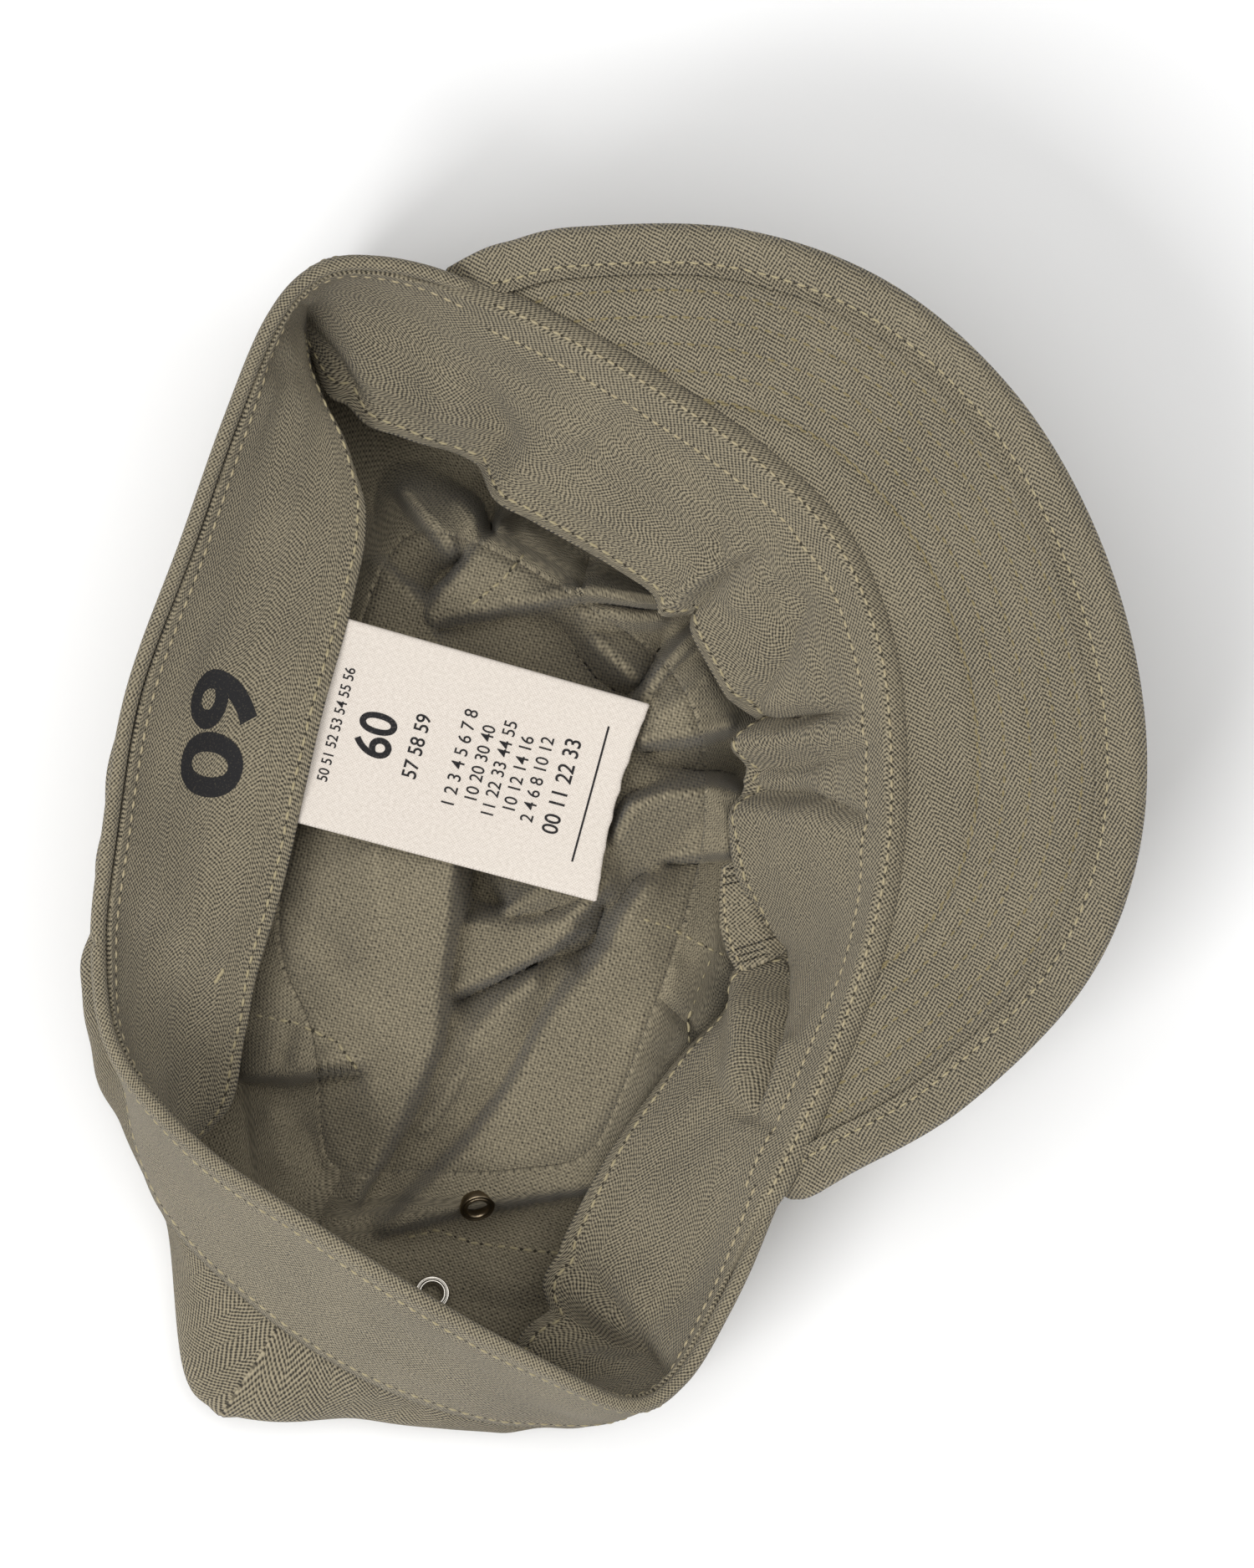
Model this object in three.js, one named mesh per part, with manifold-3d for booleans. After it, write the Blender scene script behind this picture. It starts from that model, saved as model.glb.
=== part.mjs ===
// A field cap of herringbone twill, lying on its soft crown with the opening up.
// Millimetres, +Z up. The tables below are in the plan of the lying cap, seen from above,
// with the peak pointing peakAngle degrees round from the plan's +x. At the end the whole
// cap is turned so that the peak faces -Y, and is centred on the spot that it rests on.
import * as THREE from "three";
import { mergeVertices } from "three/addons/utils/BufferGeometryUtils.js";
import Module from "manifold-3d";

const wasm = await Module();
wasm.setup();

// Driving dimensions
const bandHeight = 44;
const bandWall = 2;
const rollDepth = 5.5; // how far the rolled rim comes down inside the band
const rollInside = 2.9; // how far it stands inside the band's middle
const sweatWall = 1.2;
const crownWall = 1;
const labelWall = 1;
const seamGap = 0.3;
const peakWall = 2.4;
const clothWall = 1; // the cloth that wraps the peak
const hemWidth = 9; // its return over the peak's underside
const eyeletOuter = 3.5;
const eyeletBore = 2;
const eyeletHigh = 2.4;
const eyeletSides = 12;
const floorInset = 14; // the crown touches the ground this far inside its widest line
const ringShare = 0.58; // where the side panels meet the top piece, from band to centre
const widestShare = 0.2;
const groundShare = 0.35;
const peakAngle = 20;

const crownCentre = new THREE.Vector2(-22, -4);

// The rim, counter-clockwise from the front: its place, how far the band's lower edge lies
// outside it (lean), and how far the crown swells outside it (out).
const rimTable = [
  { x: 55.7, y: -6.7, z: 55, lean: -21, out: -3 },
  { x: 56.5, y: 15, z: 56, lean: -21, out: -3 },
  { x: 54, y: 36.7, z: 57, lean: -21, out: -3 },
  { x: 45.7, y: 56.7, z: 58, lean: -21, out: -3 },
  { x: 30.7, y: 72.5, z: 59, lean: -21, out: -3 },
  { x: 10.7, y: 86.7, z: 60, lean: -21, out: -4 },
  { x: -9.3, y: 98.3, z: 61, lean: -20, out: -4 },
  { x: -29, y: 106.8, z: 62, lean: -16, out: -4 },
  { x: -45.8, y: 110.6, z: 64, lean: -8, out: -4 },
  { x: -58, y: 108.6, z: 66, lean: -2, out: -4 },
  { x: -67.3, y: 99, z: 68, lean: -8, out: -4 },
  { x: -76, y: 79, z: 69, lean: -18, out: -3 },
  { x: -84.3, y: 56, z: 69, lean: -22, out: -2.5 },
  { x: -95, y: 26.5, z: 68, lean: -23, out: 0.5 },
  { x: -99.8, y: -1.7, z: 66, lean: -22, out: 1.5 },
  { x: -101.7, y: -23.3, z: 64, lean: -16, out: 3 },
  { x: -97.7, y: -44.2, z: 63, lean: -2, out: 5 },
  { x: -81, y: -62.5, z: 63, lean: 14, out: 14.5 },
  { x: -59.3, y: -77.5, z: 62, lean: 20, out: 42.5 },
  { x: -36, y: -92.5, z: 60, lean: 20, out: 29 },
  { x: -14.3, y: -105, z: 57, lean: 14, out: 14 },
  { x: 2.3, y: -113, z: 54, lean: 3, out: 1 },
  { x: 13.2, y: -108.3, z: 52, lean: -8, out: -2 },
  { x: 22.3, y: -94.2, z: 52, lean: -17, out: -3 },
  { x: 32.3, y: -73.3, z: 52, lean: -21, out: -3 },
  { x: 42.3, y: -51.7, z: 53, lean: -21, out: -3 },
  { x: 50.7, y: -28.3, z: 54, lean: -15, out: -3 },
];
const stations = rimTable.length;

// The sweatband's free edge: the rim station that it hangs from, its place in plan, and
// how far it is pushed up from hanging at its full width.
const hemTable = [
  { at: 0, x: 24, y: -8.3, lift: 0 },
  { at: 0.5, x: 23.7, y: 1, lift: 0 },
  { at: 1, x: 25.5, y: 14, lift: 0 },
  { at: 2, x: 22, y: 25.5, lift: 0 },
  { at: 3, x: 12.7, y: 42, lift: 0 },
  { at: 4, x: 0, y: 51.5, lift: 0 },
  { at: 5, x: -16, y: 60.5, lift: 0 },
  { at: 5.5, x: -23, y: 64.5, lift: 0 },
  { at: 6, x: -27.3, y: 71.7, lift: 0 },
  { at: 7, x: -41, y: 76.7, lift: 0 },
  { at: 8, x: -55, y: 82, lift: 0 },
  { at: 9, x: -59.6, y: 93.2, lift: 3 },
  { at: 10, x: -55.8, y: 85, lift: 17 },
  { at: 10.6, x: -52, y: 72, lift: 10 },
  { at: 11, x: -49.2, y: 62.5, lift: 4 },
  { at: 12, x: -51.8, y: 45, lift: 0 },
  { at: 13, x: -58.5, y: 20, lift: 0 },
  { at: 14, x: -65.2, y: -10, lift: 0 },
  { at: 15, x: -72.3, y: -33.3, lift: 0 },
  { at: 16, x: -76, y: -53, lift: 0 },
  { at: 17, x: -86, y: -69.5, lift: 0 },
  { at: 18, x: -66.5, y: -88, lift: 0 },
  { at: 19, x: -43, y: -102, lift: 0 },
  { at: 20, x: -20, y: -110, lift: 0 },
  { at: 21, x: -19.5, y: -104, lift: 0 },
  { at: 22, x: -16.8, y: -96.7, lift: 0 },
  { at: 23, x: -11.8, y: -85, lift: 0 },
  { at: 24, x: -0.2, y: -63.3, lift: 0 },
  { at: 25, x: 12.7, y: -45.8, lift: 0 },
  { at: 26, x: 28.2, y: -28.3, lift: 0 },
  { at: 26.5, x: 29.8, y: -20.5, lift: 0 },
];

// The peak, from its far end to its near end: its outer edge, how far that edge stands
// above the root, and the rim station of the root.
const peakTable = [
  { x: -31.5, y: 111.4, rise: -1, root: 7.2 },
  { x: -21.5, y: 113.9, rise: 2, root: 6.5 },
  { x: -7.7, y: 116.6, rise: 7, root: 5.85 },
  { x: 24, y: 116, rise: 14, root: 4.58 },
  { x: 53.3, y: 105.2, rise: 19, root: 3.6 },
  { x: 77.5, y: 83.5, rise: 22, root: 2.85 },
  { x: 93.5, y: 55.5, rise: 24, root: 2 },
  { x: 101.8, y: 24.5, rise: 24, root: 1.2 },
  { x: 101, y: -5, rise: 23, root: 0.35 },
  { x: 90.3, y: -31, rise: 20, root: -0.46 },
  { x: 67.2, y: -54.5, rise: 13, root: -1.4 },
  { x: 45, y: -67.8, rise: 4, root: -2.4 },
  { x: 37.4, y: -73.2, rise: -1, root: -2.9 },
];

// Folds of the sweatband: the rim station, how many stations wide, how far it stands into
// the hollow, and how many stations it leans by its hem.
const sweatFoldTable = [
  { at: 3.45, wide: 0.5, stand: 3.5, slant: -0.35 },
  { at: 1.75, wide: 0.35, stand: 2.5, slant: -0.3 },
  { at: 0.3, wide: 0.3, stand: 2.5, slant: 0.15 },
  { at: 26.35, wide: 0.35, stand: 3, slant: -0.1 },
  { at: 24.9, wide: 0.5, stand: 2.5, slant: 0.5 },
  { at: 21.3, wide: 0.4, stand: 3, slant: 0 },
  { at: 8.3, wide: 0.5, stand: 2.5, slant: 0.2 },
];

// The main folds of the crown's cloth inside: a crest line from start to end that bows to
// its left, the width of its left and right flank, and its height at both ends.
const foldTable = [
  { x0: -37, y0: 14, x1: -50, y1: -76, bow: 6, left: 11, right: 46, h0: 24, h1: 15 },
  { x0: -46, y0: -79, x1: 8, y1: -8, bow: -4, left: 11, right: 40, h0: 13, h1: 22 },
  { x0: -50, y0: -83, x1: 0, y1: -74, bow: -1, left: 12, right: 11, h0: 15, h1: 12 },
  { x0: -36, y0: -26, x1: 19, y1: 2, bow: -3, left: 14, right: 11, h0: 20, h1: 22 },
  { x0: 0, y0: 19, x1: 20, y1: 22, bow: 0, left: 14, right: 14, h0: 24, h1: 18 },
  { x0: -16, y0: 40, x1: 10, y1: 34, bow: 2, left: 12, right: 12, h0: 22, h1: 18 },
  { x0: -40, y0: 43, x1: -6, y1: 51, bow: 2, left: 14, right: 12, h0: 24, h1: 18 },
  { x0: -46, y0: 70, x1: -32, y1: 58, bow: -2, left: 12, right: 12, h0: 16, h1: 18 },
];
const creaseRound = 6; // how softly two folds meet

// Eyelets: each one's place in plan on the crown inside, or its station and share of the
// crown outside.
const eyeletTable = [
  { name: "eyelet_left_front", x: -27.3, y: -75.5 },
  { name: "eyelet_left_rear", x: -36.5, y: -93 },
  { name: "eyelet_right_front", station: 9.9, share: 0.2 },
  { name: "eyelet_right_rear", station: 11.7, share: 0.2 },
];

// Colours and finishes
const twill = () =>
  new THREE.MeshStandardMaterial({ color: 0x7a7462, roughness: 0.95, metalness: 0 });
const cotton = () =>
  new THREE.MeshStandardMaterial({ color: 0xe6dfd2, roughness: 0.9, metalness: 0 });
const nickel = () =>
  new THREE.MeshStandardMaterial({ color: 0xb9b4aa, roughness: 0.35, metalness: 1 });

// Smooth value of a column at a station, from rows that go round the cap.
function around(rows, column, at) {
  const turn = ((at % stations) + stations) % stations;
  const knot = (i) => {
    const wrap = Math.floor(i / rows.length);
    const nth = i - wrap * rows.length;
    const row = rows[nth];
    return { t: (row.at ?? nth) + wrap * stations, v: row[column] };
  };
  let i = 0;
  while (i + 1 < rows.length && knot(i + 1).t <= turn) i++;
  return hermite(knot(i - 1), knot(i), knot(i + 1), knot(i + 2), turn);
}

// Cubic through b and c that leaves each with the slope of its neighbours.
function hermite(a, b, c, d, t) {
  const span = c.t - b.t;
  const s = (t - b.t) / span;
  const slopeB = ((c.v - a.v) / (c.t - a.t)) * span;
  const slopeC = ((d.v - b.v) / (d.t - b.t)) * span;
  const s2 = s * s;
  const s3 = s2 * s;
  return (
    (2 * s3 - 3 * s2 + 1) * b.v +
    (s3 - 2 * s2 + s) * slopeB +
    (3 * s2 - 2 * s3) * c.v +
    (s3 - s2) * slopeC
  );
}

// Smooth value of a column along rows that have two ends; share runs from 0 to 1.
function along(rows, column, share) {
  const last = rows.length - 1;
  const t = share * last;
  const i = Math.min(last - 1, Math.floor(t));
  const knot = (k) => {
    const inside = Math.min(last, Math.max(0, k));
    return { t: k, v: rows[inside][column] };
  };
  return hermite(knot(i - 1), knot(i), knot(i + 1), knot(i + 2), t);
}

function rimPoint(at) {
  return new THREE.Vector3(
    around(rimTable, "x", at),
    around(rimTable, "y", at),
    around(rimTable, "z", at),
  );
}

// The rim's frame: the way out from the cap in plan, the way down the leaning band wall,
// and the way straight out of that wall.
function rimFrame(at) {
  const step = 0.05; // stations to each side that give the rim's direction
  const run = rimPoint(at + step).sub(rimPoint(at - step));
  const out = new THREE.Vector3(run.y, -run.x, 0).normalize();
  const lean = around(rimTable, "lean", at);
  const drop = Math.sqrt(bandHeight ** 2 - lean ** 2);
  const down = out.clone().multiplyScalar(lean);
  down.z = -drop;
  down.normalize();
  const across = out.clone().multiplyScalar(drop / bandHeight);
  across.z = lean / bandHeight;
  return { origin: rimPoint(at), out, down, across };
}

// A point of the band: so far down its wall and so far out of its middle.
function bandPoint(at, downBy, outBy) {
  const { origin, down, across } = rimFrame(at);
  return origin.addScaledVector(down, downBy).addScaledVector(across, outBy);
}

// The sweatband's free edge hangs at the band's height from the rim.
function hemPoint(at) {
  const x = around(hemTable, "x", at);
  const y = around(hemTable, "y", at);
  const rim = rimPoint(at);
  const plan = Math.hypot(x - rim.x, y - rim.y);
  const drop = Math.sqrt(Math.max(bandHeight ** 2 - plan ** 2, 0));
  return new THREE.Vector3(x, y, rim.z - drop + around(hemTable, "lift", at));
}

// The sweatband from its sewn edge (share 0) to its hem (share 1).
const sweatStart = rollDepth + 1;
const sweatInset = -(bandWall + sweatWall) / 2 - seamGap;
const sweatFollow = 12; // it follows the band's wall this far before it turns in
function sweatPoint(at, share) {
  const top = bandPoint(at, sweatStart, sweatInset);
  const turn = bandPoint(at, sweatStart + sweatFollow, sweatInset);
  const hem = hemPoint(at);
  const rest = 1 - share;
  const { across } = rimFrame(at);
  return top
    .multiplyScalar(rest * rest)
    .addScaledVector(turn, 2 * rest * share)
    .addScaledVector(hem, share * share)
    .addScaledVector(across, -sweatFold(at, share));
}

// How far the sweatband's folds stand into the hollow there; they run out at its sewn edge.
function sweatFold(at, share) {
  let stand = 0;
  for (const fold of sweatFoldTable) {
    const past = at - fold.at - fold.slant * share;
    const nearest = past - stations * Math.round(past / stations);
    stand += fold.stand * Math.exp(-((nearest / fold.wide) ** 2));
  }
  return stand * THREE.MathUtils.smoothstep(share, 0.1, 0.7);
}

// Two heights joined with a rounded crease between them.
function joinFolds(a, b) {
  const near = Math.max(creaseRound - Math.abs(a - b), 0) / creaseRound;
  return Math.max(a, b) + (near * near * creaseRound) / 4;
}

// Height of one fold over a point of the ground.
const foldEnd = 0.12; // share of the crest over which a fold's end comes down
function foldHeight(fold, x, y) {
  const dx = fold.x1 - fold.x0;
  const dy = fold.y1 - fold.y0;
  const length = Math.hypot(dx, dy);
  const run = ((x - fold.x0) * dx + (y - fold.y0) * dy) / (length * length);
  const bowed = fold.bow * 4 * Math.min(Math.max(run, 0), 1) * (1 - Math.min(Math.max(run, 0), 1));
  const side = ((y - fold.y0) * dx - (x - fold.x0) * dy) / length - bowed;
  const flank = Math.abs(side) / (side > 0 ? fold.left : fold.right);
  const past = Math.max(-run, run - 1, 0) / foldEnd;
  const spread = flank * flank + past * past;
  const crest = fold.h0 + (fold.h1 - fold.h0) * Math.min(Math.max(run, 0), 1);
  return crest * (1 - spread);
}

// Height of the crown's cloth over the ground, which it touches near its edge.
const foldStart = 0.18; // share of the way in over which the folds rise from there
function foldedHeight(x, y, inside) {
  let height = 0;
  for (const fold of foldTable) height = joinFolds(height, foldHeight(fold, x, y));
  const flat = creaseRound / 4; // what joining with bare ground adds
  return Math.max(height - flat, 0) * THREE.MathUtils.smoothstep(inside, 0, foldStart);
}

const crownTuck = 8; // it leaves the band along the band's own wall for about this far
// The crown from the band's lower edge (share 0) out to its widest line, down to the
// ground and in to its centre (share 1).
function crownPoint(at, share) {
  const seam = bandPoint(at, bandHeight + 2 * seamGap, 0);
  const { origin, out, down } = rimFrame(at);
  const wide = origin.clone().addScaledVector(out, around(rimTable, "out", at));
  const middle = crownWall / 2;
  wide.z = THREE.MathUtils.clamp(seam.z * 0.5, 5, 16);
  const inward = new THREE.Vector3(crownCentre.x - wide.x, crownCentre.y - wide.y, 0);
  const ground = wide.clone().addScaledVector(inward.clone().normalize(), floorInset);
  ground.z = middle;
  if (share <= widestShare) {
    const swell = new THREE.CubicBezierCurve3(
      seam,
      seam.clone().addScaledVector(down, crownTuck),
      wide.clone().setZ(wide.z + crownTuck / 2),
      wide,
    );
    return swell.getPoint(share / widestShare);
  }
  if (share <= groundShare) {
    const turn = ((share - widestShare) / (groundShare - widestShare)) * (Math.PI / 2);
    const level = wide.clone().lerp(ground, 1 - Math.cos(turn));
    level.z = middle + (wide.z - middle) * (1 - Math.sin(turn));
    return level;
  }
  const inside = (share - groundShare) / (1 - groundShare);
  const point = ground.lerp(new THREE.Vector3(crownCentre.x, crownCentre.y, middle), inside);
  point.z += foldedHeight(point.x, point.y, inside);
  return point;
}

// The peak's middle surface: share from its far to its near end, and inward from its
// outer edge (0) to its root at the band (1).
const peakArch = 1.5;
const rootDown = 2.2;
const rootOut = (bandWall + peakWall) / 2 + seamGap;
function peakPoint(share, inward) {
  const root = bandPoint(along(peakTable, "root", share), rootDown, rootOut);
  const edge = new THREE.Vector3(
    along(peakTable, "x", share),
    along(peakTable, "y", share),
    root.z + along(peakTable, "rise", share),
  );
  const point = edge.lerp(root, inward);
  point.z -= peakArch * Math.sin(Math.PI * inward);
  return point;
}

// A buffer geometry from points and triangles, facing out.
function geometryOf(points, triangles) {
  const volume = triangles.reduce((sum, [a, b, c]) => {
    const cross = new THREE.Vector3().crossVectors(points[b], points[c]);
    return sum + points[a].dot(cross);
  }, 0);
  const facing = volume < 0 ? triangles.map(([a, b, c]) => [a, c, b]) : triangles;
  return new THREE.BufferGeometry()
    .setFromPoints(points)
    .setIndex(facing.flat());
}

// A cloth wall about a grid of middle points; grid[i][j], i along and j across. Closed
// grids meet round the cap. A grounded wall lies flat at z = 0.
function clothWallOf(grid, thick, { closed = false, grounded = false } = {}) {
  const rows = grid.length;
  const columns = grid[0].length;
  const points = [];
  const triangles = [];
  const at = (i, j) => grid[closed ? (i + rows) % rows : THREE.MathUtils.clamp(i, 0, rows - 1)][
    THREE.MathUtils.clamp(j, 0, columns - 1)
  ];
  for (let i = 0; i < rows; i++) {
    for (let j = 0; j < columns; j++) {
      const runI = at(i + 1, j).clone().sub(at(i - 1, j));
      const runJ = at(i, j + 1).clone().sub(at(i, j - 1));
      const normal = runI.cross(runJ).normalize();
      for (const side of [1, -1]) {
        points.push(grid[i][j].clone().addScaledVector(normal, (side * thick) / 2));
      }
    }
  }
  const index = (i, j, side) => 2 * (((i + rows) % rows) * columns + j) + side;
  const quad = (a, b, c, d) => triangles.push([a, b, c], [a, c, d]);
  const turns = closed ? rows : rows - 1;
  for (let i = 0; i < turns; i++) {
    for (let j = 0; j + 1 < columns; j++) {
      quad(index(i, j, 0), index(i + 1, j, 0), index(i + 1, j + 1, 0), index(i, j + 1, 0));
      quad(index(i, j, 1), index(i, j + 1, 1), index(i + 1, j + 1, 1), index(i + 1, j, 1));
    }
    quad(index(i, 0, 0), index(i, 0, 1), index(i + 1, 0, 1), index(i + 1, 0, 0));
    const last = columns - 1;
    quad(index(i, last, 0), index(i + 1, last, 0), index(i + 1, last, 1), index(i, last, 1));
  }
  if (!closed) {
    for (let j = 0; j + 1 < columns; j++) {
      const end = rows - 1;
      quad(index(0, j, 0), index(0, j + 1, 0), index(0, j + 1, 1), index(0, j, 1));
      quad(index(end, j, 0), index(end, j, 1), index(end, j + 1, 1), index(end, j + 1, 0));
    }
  }
  if (grounded) {
    const touching = 0.05;
    for (const point of points) if (point.z < touching) point.z = 0;
  }
  return geometryOf(points, triangles);
}

// A solid through sections of the same number of points, closed round the cap or capped.
// A capped section is a strip: its first half runs along one side, the rest comes back.
function sweepOf(sections, closed) {
  const count = sections[0].length;
  const points = sections.flat();
  const triangles = [];
  const turns = closed ? sections.length : sections.length - 1;
  for (let i = 0; i < turns; i++) {
    const next = (i + 1) % sections.length;
    for (let j = 0; j < count; j++) {
      const beside = (j + 1) % count;
      const [a, b] = [i * count + j, next * count + j];
      const [c, d] = [next * count + beside, i * count + beside];
      triangles.push([a, b, c], [a, c, d]);
    }
  }
  if (!closed) {
    const end = (sections.length - 1) * count;
    for (let j = 0; j + 1 < count / 2; j++) {
      const [a, b, c, d] = [j, j + 1, count - 2 - j, count - 1 - j];
      triangles.push([a, b, c], [a, c, d]);
      triangles.push([end + a, end + c, end + b], [end + a, end + d, end + c]);
    }
  }
  return geometryOf(points, triangles);
}

function solidFrom(geometry) {
  const merged = mergeVertices(geometry.clone(), 1e-4);
  return new wasm.Manifold(
    new wasm.Mesh({
      numProp: 3,
      vertProperties: merged.attributes.position.array,
      triVerts: new Uint32Array(merged.index.array),
    }),
  );
}

function geometryFrom(solid) {
  const mesh = solid.getMesh();
  return new THREE.BufferGeometry()
    .setAttribute("position", new THREE.BufferAttribute(mesh.vertProperties, mesh.numProp))
    .setIndex(new THREE.BufferAttribute(mesh.triVerts, 1));
}

function named(name, geometry, material) {
  const mesh = new THREE.Mesh(geometry, material);
  mesh.name = name;
  return mesh;
}

// The outer band with its rolled rim, one closed section carried round the rim: up the
// outside, over the roll and down the inside.
function makeBand() {
  const half = bandWall / 2;
  const middle = (half - rollInside) / 2; // the roll's top
  const shoulder = 1; // how far below its top the roll starts to round
  const ease = 0.4; // how far in that shoulder lies
  const under = 0.5; // the step under the roll
  const outline = [
    new THREE.Vector2(bandHeight, half),
    new THREE.Vector2(3 * shoulder, half),
    new THREE.Vector2(shoulder, half - ease),
    new THREE.Vector2(0, middle),
    new THREE.Vector2(shoulder, ease - rollInside),
    new THREE.Vector2(3 * shoulder, -rollInside),
    new THREE.Vector2(rollDepth, -rollInside),
    new THREE.Vector2(rollDepth + under, -half),
    new THREE.Vector2(bandHeight, -half),
  ];
  const turns = 3 * stations;
  const sections = Array.from({ length: turns }, (_, i) =>
    outline.map((p) => bandPoint((i * stations) / turns, p.x, p.y)),
  );
  return named("band", sweepOf(sections, true), twill());
}

function makeSweatband() {
  const turns = 96;
  const steps = 4;
  const grid = Array.from({ length: turns }, (_, i) =>
    Array.from({ length: steps + 1 }, (_, j) =>
      sweatPoint((i * stations) / turns, j / steps),
    ),
  );
  return named("sweatband", clothWallOf(grid, sweatWall, { closed: true }), twill());
}

// Where a station's share of the crown lies over a point of the plan.
function crownPlaceOver(x, y) {
  let best = { gap: Infinity };
  for (let station = 0; station < stations; station += 0.05) {
    for (let share = groundShare; share < 1; share += 0.01) {
      const point = crownPoint(station, share);
      const gap = Math.hypot(point.x - x, point.y - y);
      if (gap < best.gap) best = { gap, station, share };
    }
  }
  return best;
}

function crownNormal(station, share) {
  const step = 0.02; // in shares
  const aside = 0.1; // in stations
  const run = crownPoint(station + aside, share).sub(crownPoint(station - aside, share));
  const rise = crownPoint(station, share + step).sub(crownPoint(station, share - step));
  return run.cross(rise).normalize();
}

const eyeletPlaces = eyeletTable.map((row) => {
  const { station, share } = row.station ? row : crownPlaceOver(row.x, row.y);
  const turn = new THREE.Quaternion().setFromUnitVectors(
    new THREE.Vector3(0, 1, 0),
    crownNormal(station, share),
  );
  return { name: row.name, centre: crownPoint(station, share), turn };
});

// An eyelet is a rolled ring about its bore.
function makeEyelet({ name, centre, turn }) {
  const half = eyeletHigh / 2;
  const flange = 0.5; // half the thickness of its outer edge
  const lip = 0.4; // how far its barrel is rolled down, and out to its crest
  const profile = [
    new THREE.Vector2(eyeletBore, -half + lip),
    new THREE.Vector2(eyeletBore + lip, -half),
    new THREE.Vector2(eyeletOuter, -flange),
    new THREE.Vector2(eyeletOuter, flange),
    new THREE.Vector2(eyeletBore + lip, half),
    new THREE.Vector2(eyeletBore, half - lip),
  ];
  profile.push(profile[0].clone());
  const mesh = named(name, new THREE.LatheGeometry(profile, eyeletSides), nickel());
  mesh.position.copy(centre);
  mesh.quaternion.copy(turn);
  return mesh;
}

// The hole that an eyelet sits in, a little wider than the eyelet.
const holeDeep = 10;
function eyeletHole({ centre, turn }) {
  const wide = eyeletOuter + seamGap;
  const hole = new THREE.CylinderGeometry(wide, wide, holeDeep, eyeletSides);
  hole.deleteAttribute("normal");
  hole.deleteAttribute("uv");
  hole.applyQuaternion(turn).translate(centre.x, centre.y, centre.z);
  return solidFrom(hole);
}

// Side panels between seams, each seam at a rim station, and the top piece inside them.
const crownTurns = 80;
const panelTable = [
  { name: "crown_front", from: -2.4, to: 5.2 },
  { name: "crown_right", from: 5.2, to: 12.1 },
  { name: "crown_back", from: 12.1, to: 18.2 },
  { name: "crown_left", from: 18.2, to: 24.6 },
];
const sideShares = [0, 0.05, 0.1, 0.155, 0.21, 0.28, 0.35, 0.43, 0.505, ringShare - 0.005];
const topShare = ringShare + 0.005;

// How much of a station a seam's half gap takes up at a share of the crown.
function seamStations(at, share) {
  const perStation = crownPoint(at + 0.5, share).distanceTo(crownPoint(at - 0.5, share));
  return (1.2 * seamGap) / perStation;
}

function makeCrownPanel({ name, from, to }) {
  const steps = Math.round(((to - from) * crownTurns) / stations);
  const grid = Array.from({ length: steps + 1 }, (_, i) =>
    sideShares.map((share) => {
      const start = from + seamStations(from, share);
      const end = to - seamStations(to, share);
      return crownPoint(THREE.MathUtils.lerp(start, end, i / steps), share);
    }),
  );
  let solid = solidFrom(clothWallOf(grid, crownWall, { grounded: true }));
  for (const place of eyeletPlaces) solid = solid.subtract(eyeletHole(place));
  return named(name, geometryFrom(solid), twill());
}

// How far round (0 to 1) and how far out (0 to 1) a place of a square sheet lies when the
// sheet is stretched to a round one.
function squareToRound(u, v) {
  const out = Math.max(Math.abs(u), Math.abs(v));
  if (out === 0) return { turn: 0, out };
  const quarter = Math.abs(u) >= Math.abs(v) ? (u > 0 ? 0 : 0.5) : v > 0 ? 0.25 : 0.75;
  const past = Math.abs(u) >= Math.abs(v) ? v / u : -u / v;
  return { turn: quarter + past / 8, out };
}

function makeCrownTop() {
  const steps = crownTurns / 4;
  const grid = Array.from({ length: steps + 1 }, (_, i) =>
    Array.from({ length: steps + 1 }, (_, j) => {
      const { turn, out } = squareToRound((2 * i) / steps - 1, (2 * j) / steps - 1);
      return crownPoint(turn * stations, 1 - out * (1 - topShare));
    }),
  );
  let solid = solidFrom(clothWallOf(grid, crownWall, { grounded: true }));
  for (const place of eyeletPlaces) solid = solid.subtract(eyeletHole(place));
  return named("crown_top", geometryFrom(solid), twill());
}

// A point of the peak so far in from its outer edge, and so far above its middle.
function peakOffset(share, inBy, upBy) {
  const edge = peakPoint(share, 0);
  const root = peakPoint(share, 1);
  const depth = edge.distanceTo(root);
  const run = root.clone().sub(edge).normalize();
  const ahead = peakPoint(Math.min(share + 0.01, 1), 0).sub(peakPoint(Math.max(share - 0.01, 0), 0));
  const normal = ahead.cross(run).normalize();
  if (normal.z < 0) normal.negate();
  return peakPoint(share, inBy / depth).addScaledVector(normal, upBy);
}

const peakSteps = 32;
function peakSections(outlineAt) {
  return Array.from({ length: peakSteps + 1 }, (_, i) => {
    const share = i / peakSteps;
    const depth = peakPoint(share, 0).distanceTo(peakPoint(share, 1));
    return outlineAt(depth).map((p) => peakOffset(share, p.x, p.y));
  });
}

// The stiffened underside of the peak, which faces up here.
function underOutline(depth) {
  const half = peakWall / 2;
  const start = Math.min(clothWall + seamGap, depth / 3);
  const spots = [0, 0.25, 0.5, 0.75, 1].map((s) => start + (depth - start) * s);
  return [
    ...spots.map((x) => new THREE.Vector2(x, -half)),
    ...spots.reverse().map((x) => new THREE.Vector2(x, half)),
  ];
}

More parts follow.
